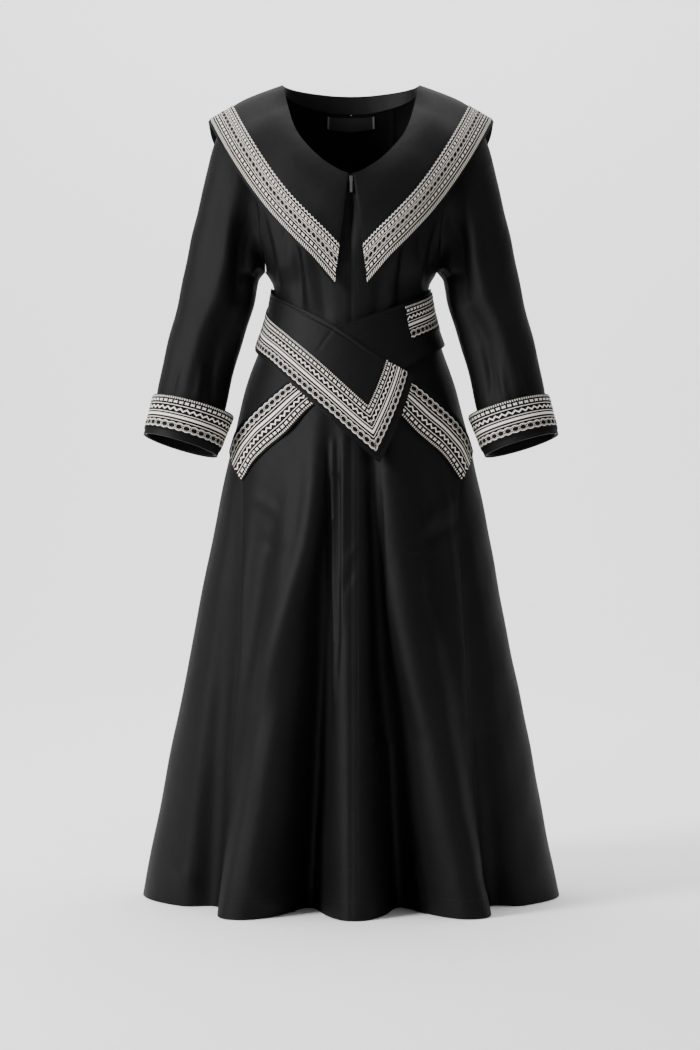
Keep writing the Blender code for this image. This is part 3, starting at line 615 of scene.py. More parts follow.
def ring_point(table, place, turn, out=0.0):
    """A point of a sleeve or cuff ring: centre - across * half * cos + front * depth * sin of the turn,
    which runs from the ring's inner side over the front to its outer side."""
    inner_x, inner_z, outer_x, outer_z, centre_y, depth, tilt, scoop = np.moveaxis(table(place), -1, 0)
    nothing = 0 * inner_x
    across = np.stack([outer_x - inner_x, nothing, outer_z - inner_z], -1)
    half = np.linalg.norm(across, axis=-1, keepdims=True) / 2
    across = unit(across)
    lift = np.stack([-across[..., 2], nothing, across[..., 0]], -1)
    tilt = np.radians(tilt)[..., None]
    front = np.cos(tilt) * np.array([0.0, -1.0, 0.0]) + np.sin(tilt) * lift
    centre = np.stack([(inner_x + outer_x) / 2, centre_y, (inner_z + outer_z) / 2], -1)
    turn = np.radians(turn)
    cosine, sine = np.cos(turn)[..., None], np.sin(turn)[..., None]
    depth = depth[..., None]
    normal = unit(-across * cosine / half + front * sine / depth)
    point = centre - across * half * cosine + front * depth * sine
    point = point - (scoop[..., None] * sine**2) * np.array([1.0, 0.0, 0.0])
    return point + normal * out, normal


def yoke_point(face, share, rise):
    """A point above the armpits: a Coons blend of the four edges of that quarter of the body, which is the
    sum of the two straight blends between opposite edges less the blend of the corners."""
    share, rise = np.broadcast_arrays(share, rise)
    armpit_seam = side_seam_at(np.array(ARMPIT))[0]
    bottom = skirt_point(face, share * armpit_seam, np.full(share.shape, ARMPIT))
    top = top_edge_point(face, share)
    turn = ARMHOLE_START + (180 - ARMHOLE_START) * rise
    nowhere = np.zeros_like(share)
    armhole = ring_point(sleeve_at, nowhere, turn if face < 0 else -turn)[0]
    armhole_start = ring_point(sleeve_at, nowhere, nowhere - face * ARMHOLE_START)[0]
    middle_bottom = skirt_point(face, nowhere, np.full(share.shape, ARMPIT))
    middle_top = neck_point(nowhere if face < 0 else nowhere + 1)
    u, v = share[..., None], rise[..., None]
    middle = middle_bottom + (middle_top - middle_bottom) * v
    if face > 0:
        middle = middle + BACK_BLADE * np.sin(np.pi * v) * np.array([0.0, 1.0, 0.0])
    low_corners = (1 - u) * middle_bottom + u * armhole_start
    high_corners = (1 - u) * middle_top + u * np.array(SHOULDER_TIP)
    edges = (1 - v) * bottom + v * top + (1 - u) * middle + u * armhole
    return edges - (1 - v) * low_corners - v * high_corners


def body_point(face, column, height):
    """A point of the dress. Column 0 is the centre of the face, 1 the side seam and 2 the side."""
    side = np.where(column < 0, -1.0, 1.0)
    share = np.abs(column)
    seam = side_seam_at(height)[..., 0]
    angle = np.where(share <= 1, share * seam, seam + (share - 1) * (90 - seam))
    lower = skirt_point(face, side * angle, height)
    rise = np.clip((height - ARMPIT) / -ARMPIT, 0, None)
    upper = yoke_point(face, np.clip(share, 0, 1), rise)
    upper = upper * np.stack([side, np.ones_like(side), np.ones_like(side)], -1)
    return np.where((height > ARMPIT)[..., None], upper, lower)


def surface_normals(surface, first, second, inside):
    """Outward unit normals of a surface of two parameters: the cross product of its two differences,
    turned to point away from inside."""
    step = 1e-4
    along = surface(first + step, second) - surface(first - step, second)
    across = surface(first, second + step) - surface(first, second - step)
    normals = unit(np.cross(along, across))
    facing = np.sum(normals * (surface(first, second) - inside), -1)
    return normals * np.where(facing < 0, -1.0, 1.0)[..., None]


def neck_outwards(points):
    """Level unit vectors that point away from the neck."""
    return unit((points - NECK_CENTRE) * np.array([1.0, 1.0, 0.0]))


# %% [markdown]
# ## Creases
# Worn cloth also drags: from the armpit towards the bust, from the collar down into the belt, and across
# the inside of the elbow. A crease is a soft trough or ridge along a slightly bowed line. Its profile is a
# bell curve across the line that fades out towards both ends. Each has its own length, width and depth.

# %% Crease helper


def crease_push(p, q, rows):
    """The sum of creases at places (p, q) in metres. Each row has its ends, how far its middle bows
    sideways, its half width and its depth outwards. With t along the line from 0 to 1 and d the distance
    from the bowed line, a crease adds depth * exp(-(d / width)^2) * sin(pi t)^0.7."""
    push = np.zeros(np.broadcast(p, q).shape)
    for p0, q0, p1, q1, bow, width, depth in rows:
        length = math.hypot(p1 - p0, q1 - q0)
        way_p, way_q = (p1 - p0) / length, (q1 - q0) / length
        along = ((p - p0) * way_p + (q - q0) * way_q) / length
        aside = (q - q0) * way_p - (p - p0) * way_q
        t = np.clip(along, 0, 1)
        beyond = np.maximum(np.abs(along - 0.5) - 0.5, 0) * length
        d = np.hypot(aside - bow * np.sin(np.pi * t), beyond)
        push = push + depth * np.exp(-((d / width) ** 2)) * np.sin(np.pi * (0.06 + 0.88 * t)) ** 0.7
    return push


# %% Body creases
# x and z of one end, x and z of the other, bow, half width, depth outwards
FRONT_CREASES = (
    # Drags from the armpits
    (-0.150, -0.215, -0.128, -0.330, 0.006, 0.006, -0.0050),
    (-0.163, -0.190, -0.150, -0.290, 0.004, 0.007, 0.0040),
    (-0.137, -0.235, -0.112, -0.345, 0.004, 0.008, 0.0042),
    (0.152, -0.220, 0.126, -0.330, -0.006, 0.006, -0.0050),
    (0.163, -0.195, 0.148, -0.290, -0.004, 0.007, 0.0040),
    (0.136, -0.240, 0.110, -0.345, -0.004, 0.008, 0.0040),
    # From the collar down into the belt
    (-0.106, -0.225, -0.084, -0.375, 0.004, 0.009, -0.0090),
    (-0.088, -0.235, -0.066, -0.385, 0.002, 0.009, 0.0045),
    (-0.060, -0.270, -0.042, -0.400, 0.002, 0.010, -0.0040),
    (0.100, -0.230, 0.080, -0.380, -0.003, 0.009, -0.0085),
    (0.084, -0.235, 0.062, -0.390, -0.002, 0.009, 0.0042),
    (0.056, -0.280, 0.040, -0.400, -0.002, 0.010, -0.0036),
    # Folds that run from the hips into the flutes
    (-0.052, -0.640, -0.150, -1.010, 0.012, 0.024, 0.0150),
    (-0.115, -0.640, -0.172, -0.980, -0.008, 0.020, -0.0075),
    (-0.090, -0.560, -0.098, -0.820, 0.006, 0.018, -0.0060),
    (0.050, -0.640, 0.112, -1.050, -0.008, 0.021, 0.0140),
    (0.098, -0.600, 0.140, -0.900, 0.010, 0.020, -0.0070),
    (0.150, -0.700, 0.205, -1.060, -0.006, 0.020, 0.0060),
    # Narrow folds beside the centre seam
    (-0.038, -0.600, -0.033, -1.060, 0.001, 0.0042, -0.0062),
    (-0.030, -0.600, -0.028, -1.020, 0.001, 0.0036, 0.0044),
    (-0.022, -0.600, -0.023, -0.980, 0.001, 0.0040, -0.0056),
    (-0.014, -0.600, -0.016, -0.900, 0.001, 0.0045, 0.0030),
    (0.034, -0.600, 0.052, -1.080, 0.002, 0.0110, -0.0130),
    (-0.012, -0.800, 0.010, -0.770, 0.000, 0.0050, 0.0022),
    (-0.016, -0.850, 0.008, -0.800, 0.000, 0.0060, -0.0022),
    # Soft crumples by the pocket bags and above the hem
    (-0.165, -0.690, -0.120, -0.720, 0.004, 0.0090, 0.0026),
    (-0.150, -0.760, -0.105, -0.775, -0.004, 0.0100, -0.0026),
    (0.120, -0.745, 0.168, -0.700, 0.005, 0.0080, 0.0034),
    (0.128, -0.765, 0.172, -0.735, 0.004, 0.0080, -0.0034),
    (-0.290, -1.300, -0.255, -1.345, 0.004, 0.0120, 0.0030),
    (-0.160, -1.305, -0.120, -1.350, -0.004, 0.0140, 0.0028),
    (0.205, -1.290, 0.240, -1.350, 0.004, 0.0140, -0.0026),
)
BACK_CREASES = (
    (-0.150, -0.215, -0.118, -0.330, 0.006, 0.008, -0.0045),
    (-0.130, -0.190, -0.095, -0.310, 0.004, 0.010, 0.0035),
    (0.152, -0.205, 0.120, -0.325, -0.006, 0.008, -0.0045),
    (0.128, -0.200, 0.090, -0.318, -0.004, 0.010, 0.0038),
    (-0.060, -0.470, -0.078, -0.800, 0.006, 0.018, -0.0070),
    (0.064, -0.480, 0.074, -0.760, -0.006, 0.018, -0.0075),
    (-0.015, -0.480, 0.012, -0.900, 0.004, 0.020, 0.0060),
    (0.130, -0.560, 0.170, -1.000, -0.008, 0.022, 0.0070),
    (-0.132, -0.540, -0.176, -1.020, 0.008, 0.024, 0.0064),
    (-0.240, -1.295, -0.205, -1.345, 0.004, 0.0130, 0.0028),
    (0.160, -1.300, 0.205, -1.350, 0.004, 0.0140, -0.0028),
)
WAVER = 0.0011


def soft_waver(points):
    """A slow unevenness of about a millimetre: products of sines with wavelengths of 10 to 30 cm."""
    x, y, z = np.moveaxis(points, -1, 0)
    first = np.sin(31 * x + 7 * z) * np.sin(17 * z + 23 * y + 1.3)
    second = np.sin(53 * x - 21 * z + 0.7) * np.sin(37 * y - 29 * z)
    return WAVER * (first + 0.6 * second)


def body_push(points):
    """All creases and the waver. The front's creases fade out at its sides, and so do the back's."""
    x, y, z = np.moveaxis(points, -1, 0)
    in_front = ease(-y, 0.0, 0.06)
    behind = ease(y, 0.0, 0.06)
    push = crease_push(x, z, FRONT_CREASES) * in_front + crease_push(x, z, BACK_CREASES) * behind
    return push + soft_waver(points)


# %% [markdown]
# ## The panels
# The dress is cut as two fronts that meet at the zip, a flared panel under each arm, and a back in three
# panels. Each is its own grid between its seams. At a seam the cloth dips a little, because the allowances
# behind it hold it down.

# %% Cut and sew the panels
BACK_SEAM = 0.345
SEAM_DIP = 0.0011
SEAM_WIDTH = 0.0045
ROWS_LOW = 150
ROWS_YOKE = 46
FRONT_COLUMNS = 84
BACK_COLUMNS = 54
CENTRE_COLUMNS = 66
SIDE_COLUMNS = 34


def panel_heights():
    """Heights of the rows, evenly spaced from the hem to the armpit and closer from there to the shoulder."""
    low = HEM + (ARMPIT - HEM) * np.linspace(0, 1, ROWS_LOW)
    return np.concatenate([low, ARMPIT * (1 - np.linspace(0, 1, ROWS_YOKE)[1:])])


def panel_grid(face, columns, heights):
    """Points and normals of a stretch of one face, before creases."""
    column, height = np.meshgrid(columns, heights)
    points = body_point(face, column, height)
    middle = on_axis(points) + np.array([0.0, 0.0, -0.04])
    normals = surface_normals(lambda c, h: body_point(face, c, h), column, height, middle)
    if heights[-1] == 0:
        shoulder = np.abs(column[-1]) >= NECK_SHARE
        normals[-1, shoulder, 1] = 0
        normals[-1, ~shoulder] += neck_outwards(points[-1, ~shoulder])
        normals[-1] = unit(normals[-1])
    return points, normals


def draw_in(points, sides=True, top=True):
    """Moves the sewn edges in by half the gap that neighbours keep."""
    points = points.copy()
    if sides:
        first = points[:, 0] + unit(points[:, 1] - points[:, 0]) * GAP / 2
        last = points[:, -1] + unit(points[:, -2] - points[:, -1]) * GAP / 2
        points[:, 0], points[:, -1] = first, last
    if top:
        points[-1] = points[-1] + unit(points[-2] - points[-1]) * GAP / 2
    return points


def dressed(points, normals, dip_sides=(True, True)):
    """Adds the creases, and a dip beside each sewn side."""
    u, _ = arc_lengths(points)
    from_first, from_last = u - u[:, :1], u[:, -1:] - u
    push = body_push(points)
    for wanted, distance in zip(dip_sides, (from_first, from_last)):
        if wanted:
            push = push - SEAM_DIP * np.exp(-((distance / SEAM_WIDTH) ** 2))
    return points + normals * push[..., None]


def add_panel(name, points, normals):
    points = draw_in(dressed(points, normals))
    sewn_piece(name, name.removesuffix("_cloth"), points, normals, CLOTH, cloth)
    return points


heights = panel_heights()
panels = {}
for side, sign in SIDES.items():
    points, normals = panel_grid(-1, sign * np.linspace(0, 1, FRONT_COLUMNS), heights)
    panels[f"front_{side}"] = add_panel(f"front_{side}_cloth", points, normals)
    points, normals = panel_grid(1, sign * np.linspace(BACK_SEAM, 1, BACK_COLUMNS), heights)
    panels[f"back_{side}"] = add_panel(f"back_{side}_cloth", points, normals)
    low = heights[:ROWS_LOW]
    front, front_normals = panel_grid(-1, sign * np.linspace(1, 2, SIDE_COLUMNS), low)
    back, back_normals = panel_grid(1, sign * np.linspace(2, 1, SIDE_COLUMNS)[1:], low)
    points = np.concatenate([front, back], axis=1)
    add_panel(f"side_{side}_cloth", points, np.concatenate([front_normals, back_normals], axis=1))
points, normals = panel_grid(1, np.linspace(-BACK_SEAM, BACK_SEAM, CENTRE_COLUMNS), heights)
panels["back_centre"] = add_panel("back_centre_cloth", points, normals)

# %% [markdown]
# ## Stand and collar
# The collar stands up a little round the neck, rolls over, and falls wide over the shoulders like a cape.
# Between the roll line and its outer edge the cloth bows outwards. A curve of three points does that at
# each place round the neck: its start on the roll line, its end on the edge, and its middle bowed out.

# %% Collar sizes and surface
# Place, x, y, z of the outer edge, and how far the cloth bows out half-way to it in x, y and z
COLLAR_EDGE = (
    (0.00, 0.0270, -0.1430, -0.3440, 0.000, -0.014, 0.004),
    (0.10, 0.0650, -0.1430, -0.2990, 0.001, -0.019, 0.006),
    (0.20, 0.1000, -0.1340, -0.2620, 0.004, -0.023, 0.008),
    (0.30, 0.1350, -0.1160, -0.2220, 0.007, -0.024, 0.011),
    (0.40, 0.1680, -0.0960, -0.1780, 0.009, -0.022, 0.013),
    (0.50, 0.2000, -0.0760, -0.1300, 0.010, -0.016, 0.015),
    (0.57, 0.2270, -0.0440, -0.0820, 0.005, -0.006, 0.010),
    (0.62, 0.2415, -0.0040, -0.0520, 0.003, 0.000, 0.009),
    (0.66, 0.2400, 0.0300, -0.0660, 0.003, 0.006, 0.009),
    (0.74, 0.2220, 0.0750, -0.1050, 0.004, 0.014, 0.012),
    (0.82, 0.1800, 0.1080, -0.1500, 0.003, 0.020, 0.010),
    (0.90, 0.1150, 0.1280, -0.1820, 0.001, 0.022, 0.008),
    (1.00, 0.0000, 0.1350, -0.1950, 0.000, 0.022, 0.008),
)
COLLAR_FRONT_PLACE = 0.02
COLLAR_TRIM_WIDTH = 0.050
COLLAR_TRIM_MARGIN = 0.003
COLLAR_COLUMNS = 150
collar_edge_at = smooth_curve(COLLAR_EDGE)


def collar_base(place, reach):
    """(1-r)^2 start + 2r(1-r) middle + r^2 end, from the roll line to the outer edge."""
    start = roll_at(np.where(place < COLLAR_FRONT_PLACE, COLLAR_FRONT_PLACE, place))[..., :3]
    row = collar_edge_at(place)
    end, bow = row[..., :3], row[..., 3:]
    middle = (start + end) / 2 + bow
    reach = reach[..., None]
    return (1 - reach) ** 2 * start + 2 * reach * (1 - reach) * middle + reach**2 * end


def reach_from_edge(places, distance):
    """For each place, the reach where the collar is this far from its outer edge."""
    edge = collar_base(np.linspace(0, 1, 241), np.ones(241))
    reach = np.linspace(0.3, 1, 141)
    found = []
    for place in places:
        line = collar_base(np.full(reach.shape, place), reach)
        away = np.linalg.norm(line[:, None] - edge[None], axis=-1).min(axis=1)
        found.append(np.interp(-distance, -away, reach))
    return np.array(found)


def collar_grid(places, reach):
    """Points and normals of the collar: its base moved out by its own thickness and the gap, with a slow
    waver that is nothing at the roll line and at the edge."""
    place = np.broadcast_to(places, reach.shape)
    inside = np.array([0.0, 0.0, -0.25])
    safe = np.clip(place, 1e-3, 1 - 1e-3)
    normals = surface_normals(collar_base, safe, np.clip(reach, 1e-3, 1 - 1e-3), inside)
    normals[:, -1, 0] = 0
    normals = unit(normals)
    points = collar_base(place, reach) + normals * (STIFF_CLOTH + GAP)
    points[:, -1] += np.array([GAP / 2, 0.0, 0.0])
    waver = 1.3 * soft_waver(points * 1.4) * np.sin(np.pi * np.clip(reach, 0, 1))
    return points + normals * waver[..., None], normals


# %% Stand
places = np.linspace(0, 2, 2 * COLLAR_COLUMNS - 1)
side = np.where(places > 1, -1.0, 1.0)
folded = np.where(places > 1, 2 - places, places)
along = np.stack([side, np.ones_like(side), np.ones_like(side)], -1)
bottom = neck_point(folded) * along + np.array([0.0, 0.0, STAND_LIFT])
top = roll_at(folded)[..., :3] * along
share = np.linspace(0, 1, 9)[:, None, None]
points = bottom * (1 - share) + top * share
out = np.broadcast_to(neck_outwards(top), points.shape)
points[:, 0] += np.array([GAP, 0.0, 0.0])
points[:, -1] -= np.array([GAP, 0.0, 0.0])
sewn_piece("neck_stand_cloth", "neck_stand", points, out, CLOTH, cloth)

# %% [markdown]
# ## The collar's two halves
# The collar is cut in two halves, seamed at the centre back. Its band keeps an even distance from the
# outer edge, so the reach where it begins is found for each place first. The band is the collar's own
# surface moved out, which keeps it from cutting through the cloth.

# %% Collar and its bands
places = np.linspace(0, 1, COLLAR_COLUMNS)
trim_start = reach_from_edge(places, COLLAR_TRIM_WIDTH)
trim_end = reach_from_edge(places, COLLAR_TRIM_MARGIN)
reach = np.concatenate([
    np.linspace(0, 1, 24)[:-1, None] * trim_start,
    trim_start + (1 - trim_start) * np.linspace(0, 1, 10)[:, None],
])
collar, collar_normals = collar_grid(places, reach)
for side in SIDES:
    points, normals = on_side(side, collar, collar_normals)
    sewn_piece(f"collar_{side}_cloth", f"collar_{side}", points, normals, STIFF_CLOTH, cloth)


THREAD_RELIEF = 0.00045


def row_relief(shares, rows, width):
    """How far the rows of thread stand out at each share of the band: a rounded bump over every row."""
    relief = np.zeros_like(shares)
    for _, first, last, _ in rows:
        t = np.clip((shares - first) / (last - first), 0, 1)
        height = min(THREAD_RELIEF, 0.2 * (last - first) * width)
        relief = np.maximum(relief, np.sin(np.pi * t) ** 0.5 * height)
    return relief


def add_band(name, node, points, normals, shares, along, finish, rows, width, **options):
    """A band on a piece: the piece's own points moved out, with the rows of thread raised on it. Its UV map
    holds metres along and the share across."""
    lift = GAP + TRIM + row_relief(shares, rows, width)
    outer = points + normals * lift[:, None, None]
    uv = np.stack(np.broadcast_arrays(along[None, :], shares[:, None]), -1)
    made = cloth_piece(name, outer, normals, TRIM, finish, uv=uv, **options)
    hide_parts(node)


BAND_STEPS = 37
shares = np.linspace(0, 1, BAND_STEPS)
reach = trim_start + (trim_end - trim_start) * shares[:, None]
points, normals = collar_grid(places, reach)
along = distance_along(points[-1])
for side in SIDES:
    on, facing = on_side(side, points, normals)
    add_band(
        f"collar_band_{side}", f"trim_collar_{side}", on, facing, shares, along, collar_band, COLLAR_ROWS,
        COLLAR_TRIM_WIDTH,
    )

# %% [markdown]
# ## Sleeves and cuffs
# A set-in sleeve hangs from the armhole, bends a little forwards at the elbow and ends in a deep cuff,
# turned back over it. It is a row of oval rings along the arm. The inside of the elbow gathers drag lines,
# and long soft folds run down its length.

# %% Sleeve folds
SLEEVE_LENGTH = 0.62
SLEEVE_RADIUS = 0.066
# Metres down the sleeve and round it from its inner side over the front, to the same, bow, width, depth
SLEEVE_CREASES = (
    (0.020, 0.075, 0.330, 0.062, 0.008, 0.014, -0.0120),
    (0.040, 0.112, 0.420, 0.100, -0.006, 0.016, 0.0072),
    (0.060, 0.030, 0.210, 0.050, 0.006, 0.011, 0.0080),
    (0.190, 0.020, 0.262, 0.066, 0.004, 0.013, -0.0032),
    (0.300, 0.055, 0.560, 0.078, 0.006, 0.014, -0.0050),
    (0.360, 0.112, 0.575, 0.120, -0.005, 0.016, 0.0046),
    (0.470, 0.070, 0.560, 0.060, 0.003, 0.007, -0.0036),
    (0.500, 0.095, 0.565, 0.092, -0.003, 0.007, 0.0034),
    (0.505, 0.135, 0.565, 0.140, 0.003, 0.008, -0.0032),
    (0.060, 0.300, 0.300, 0.330, 0.008, 0.014, -0.0060),
    (0.150, 0.260, 0.460, 0.262, 0.006, 0.016, 0.0048),
    (0.230, 0.380, 0.300, 0.340, 0.004, 0.010, 0.0042),
    (0.300, 0.300, 0.540, 0.312, -0.005, 0.014, -0.0048),
)
# Cuff rings, as on the sleeve
CUFF = (
    (0.00, 0.1970, -0.5540, 0.3315, -0.5190, -0.054, 0.0675, 7.0, 0.000),
    (1.00, 0.2235, -0.6216, 0.3470, -0.5850, -0.067, 0.0625, 7.0, 0.000),
)
CUFF_CLOTH = 0.0025
CUFF_BAND = (0.03, 0.86)
CUFF_WIDTH = 0.060
ROUND_STEPS = 120
SLEEVE_RINGS = 130
CUFF_RINGS = 24
cuff_at = smooth_curve(CUFF)


def sleeve_push(place, turn, points):
    """Creases in metres down and round the sleeve, counted a full turn either way, and fading out at the
    armhole and inside the cuff."""
    down, around = place * SLEEVE_LENGTH, np.radians(turn) * SLEEVE_RADIUS
    full = 2 * math.pi * SLEEVE_RADIUS
    push = sum(crease_push(down, around + shift * full, SLEEVE_CREASES) for shift in (-1, 0, 1))
    fade = ease(place, 0.0, 0.08) * (1 - ease(place, 0.88, 0.93))
    return (push + 1.5 * soft_waver(points * 1.3)) * fade


# %% Sleeves, cuffs and cuff bands
turns = np.arange(ROUND_STEPS) * 360 / ROUND_STEPS
place, turn = np.broadcast_arrays(np.linspace(0, 1, SLEEVE_RINGS)[:, None], turns[None])
sleeve, sleeve_normals = ring_point(sleeve_at, place, turn)
sleeve = sleeve + sleeve_normals * sleeve_push(place, turn, sleeve)[..., None]
sleeve[0] += np.array([GAP, 0.0, 0.0])
place, turn = np.broadcast_arrays(np.linspace(0, 1, CUFF_RINGS)[:, None], turns[None])
cuff, cuff_normals = ring_point(cuff_at, place, turn)
first, last = CUFF_BAND
place, turn = np.broadcast_arrays((first + (last - first) * shares)[:, None], turns[None])
band, band_normals = ring_point(cuff_at, place, turn)
band_along = distance_along(band[-1])
for side in SIDES:
    for name, points, normals, thickness in (
        ("sleeve", sleeve, sleeve_normals, CLOTH), ("cuff", cuff, cuff_normals, CUFF_CLOTH),
    ):
        points, normals = on_side(side, points, normals)
        sewn_piece(f"{name}_{side}_cloth", f"{name}_{side}", points, normals, thickness, cloth, around=True)
    on, facing = on_side(side, band, band_normals)
    add_band(
        f"cuff_band_{side}", f"trim_cuff_{side}", on, facing, shares, band_along, sewn_band, BAND_ROWS,
        CUFF_WIDTH, around=True,
    )

# %% [markdown]
# ## The crossed belt
# The belt is a stiffened obi. One end passes beneath, the other crosses over it towards the right and
# ends in a point, with the band mitred round that point. Its outer face is an oval at each level, a few
# millimetres off the body. A strip between an upper and a lower edge is blended from the two.

# %% Belt sizes and surface
# Height, half width, front depth, back depth
BELT = (
    (-0.325, 0.1342, 0.1365, 0.1110),
    (-0.380, 0.1440, 0.1370, 0.1170),
    (-0.431, 0.1605, 0.1460, 0.1360),
    (-0.500, 0.1870, 0.1620, 0.1620),
    (-0.580, 0.2080, 0.1770, 0.1830),
    (-0.645, 0.2220, 0.1880, 0.1950),
)
BELT_LAYER = 0.0046
OVER_TOP = ((-90.0, -0.334), (-45.0, -0.3685), (-13.3, -0.405), (18.5, -0.467), (33.0, -0.4925))
OVER_BOTTOM = ((-90.0, -0.431), (-52.6, -0.465), (-37.8, -0.490), (-16.9, -0.541), (12.0, -0.636))
UNDER_TOP = ((-12.0, -0.412), (-4.0, -0.4056), (13.0, -0.3905), (38.8, -0.369), (90.0, -0.334))
UNDER_BOTTOM = ((-12.0, -0.520), (10.0, -0.505), (29.4, -0.4777), (45.8, -0.457), (90.0, -0.426))
OVER_TRIM_TOP = (0.34, 0.59)
OVER_TRIM_END = 0.885
UNDER_TRIM_START = 38.8
BACK_TOP = -0.334
BACK_TRIM = ((90.0, -0.340, -0.403), (180.0, -0.350, -0.413), (270.0, -0.366, -0.426))
BELT_BAND_WIDTH = 0.057
belt_at = smooth_curve(BELT)
back_trim_at = smooth_curve(BACK_TRIM)


def belt_point(angle, height):
    """The belt's outer face. Angles run from the centre front over +X, past 90, to the back."""
    half, front, back = np.moveaxis(belt_at(height), -1, 0)
    turn = np.radians(angle)
    depth = np.where(np.cos(turn) > 0, front, back)
    return np.stack([half * np.sin(turn), -depth * np.cos(turn), height + 0 * turn], -1)


def belt_grid(angle, height):
    """Points and outward normals of the belt's outer face."""
    points = belt_point(angle, height)
    return points, surface_normals(belt_point, angle, height, on_axis(points))


def strip_between(top_angles, top, bottom_angles, bottom, shares):
    """Angles and heights of rows between a top edge and a bottom edge."""
    angle = top_angles + (bottom_angles - top_angles) * shares
    height = top(top_angles)[..., 0] * (1 - shares) + bottom(bottom_angles)[..., 0] * shares
    return angle, height


def over_grid(along, shares):
    """Points and normals of the belt's outer end. It lifts off the belt below as it comes round."""
    top_angles = OVER_TOP[0][0] + (OVER_TOP[-1][0] - OVER_TOP[0][0]) * along
    bottom_angles = OVER_BOTTOM[0][0] + (OVER_BOTTOM[-1][0] - OVER_BOTTOM[0][0]) * along
    angle, height = strip_between(
        top_angles, smooth_curve(OVER_TOP), bottom_angles, smooth_curve(OVER_BOTTOM), shares
    )
    points, normals = belt_grid(angle, height)
    outwards = BELT_LAYER * np.clip((angle + 90) / 40, 0, 1)
    return points + normals * outwards[..., None], normals


# %% Belt pieces
# x and z of both ends of the slanting seam, then bow, half width and depth
BELT_SEAM = ((-0.0294, -0.4143, -0.0555, -0.4502, 0.0, 0.0022, -0.0011),)
FURROW_PLACE = 0.006
FURROW_WIDTH = 0.0018
FURROW_DEPTH = 0.0009


def belt_rows(count):
    """Shares of rows across the belt, close together near its upper edge where the furrow is."""
    return np.concatenate([np.linspace(0, 0.12, 14), np.linspace(0.12, 1, count)[1:]])[:, None]


def stitched_down(points, normals):
    """A soft furrow a few millimetres inside the upper edge, where the topstitching pulls the cloth in."""
    _, v = arc_lengths(points)
    furrow = FURROW_DEPTH * np.exp(-(((v - FURROW_PLACE) / FURROW_WIDTH) ** 2))
    return points - normals * furrow[..., None]


along = np.linspace(0, 1, 160)
over, over_normals = over_grid(along, belt_rows(36))
seam = crease_push(over[..., 0], over[..., 2], BELT_SEAM)
over = draw_in(stitched_down(over, over_normals) + over_normals * seam[..., None], top=False)
sewn_piece("belt_over_cloth", "belt_over", over, over_normals, STIFF_CLOTH, cloth)
angles = np.linspace(UNDER_TOP[0][0], 90.0, 110)
angle, height = strip_between(
    angles, smooth_curve(UNDER_TOP), angles, smooth_curve(UNDER_BOTTOM), belt_rows(26)
)
under, under_normals = belt_grid(angle, height)
under = draw_in(stitched_down(under, under_normals), top=False)
sewn_piece("belt_under_cloth", "belt_under", under, under_normals, STIFF_CLOTH, cloth)


def back_belt(first_height, last_height):
    """Rows of the back of the belt between two heights, which may change with the angle."""
    rows = np.linspace(0, 1, 24)[:, None]
    height = first_height * (1 - rows) + last_height * rows
    return belt_grid(np.broadcast_to(back_angles, height.shape), height)


back_angles = np.linspace(90, 270, 150)
turned = (back_angles - 90) / 180
low = UNDER_BOTTOM[-1][1] * (1 - turned) + OVER_BOTTOM[0][1] * turned
points, normals = back_belt(np.full(back_angles.shape, BACK_TOP), low)
points = draw_in(points, top=False)
sewn_piece("belt_back_cloth", "belt_back", points, normals, STIFF_CLOTH, cloth)

# %% [markdown]
# ## Bands on the belt
# On the real belt one strip of embroidery turns the corner at the point in a mitre. Two strips laid over
# each other would show through there, so the whole outer end is one grid, and only the cells under a
# band are kept.

# %% Belt bands
# The lower band runs to the point, and the end band meets it there in a mitre: across the mitre each row
# of thread turns through the corner, because the share is the larger of the two bands' shares
LOW_EDGE = 0.97
END_EDGE = 0.98
rows = np.linspace(0, LOW_EDGE, 90)
columns = np.linspace(0, END_EDGE, 280)
points, normals = over_grid(columns, rows[:, None])
points = draw_in(points, top=False)
edge_low, _ = over_grid(columns, np.full((1, 1), LOW_EDGE))
edge_end, _ = over_grid(np.full(1, END_EDGE), rows[:, None])
start = np.interp(columns, (0, OVER_TRIM_END), OVER_TRIM_TOP)
share_low = 1 - (LOW_EDGE - rows[:, None]) / (LOW_EDGE - start[None])
share_end = (columns[None] - OVER_TRIM_END) / (END_EDGE - OVER_TRIM_END) + 0 * rows[:, None]
share_band = np.maximum(share_low, share_end)
cells = (share_band[:-1, :-1] >= 0) | (share_band[1:, 1:] >= 0)
along_low = distance_along(edge_low[0])[None] + 0 * rows[:, None]
along_end = distance_along(edge_end[:, 0])[:, None] + 0 * columns[None]
along_band = np.where(share_low >= share_end, along_low, along_end)
relief = row_relief(share_band.ravel(), BAND_ROWS, BELT_BAND_WIDTH).reshape(share_band.shape)
outer = points + normals * (GAP + TRIM + relief)[..., None]
sewn_piece(
    "belt_over_band", "trim_belt_over", outer, normals, TRIM, sewn_band,
    uv=np.stack([along_band, share_band], -1), cells=cells,
)

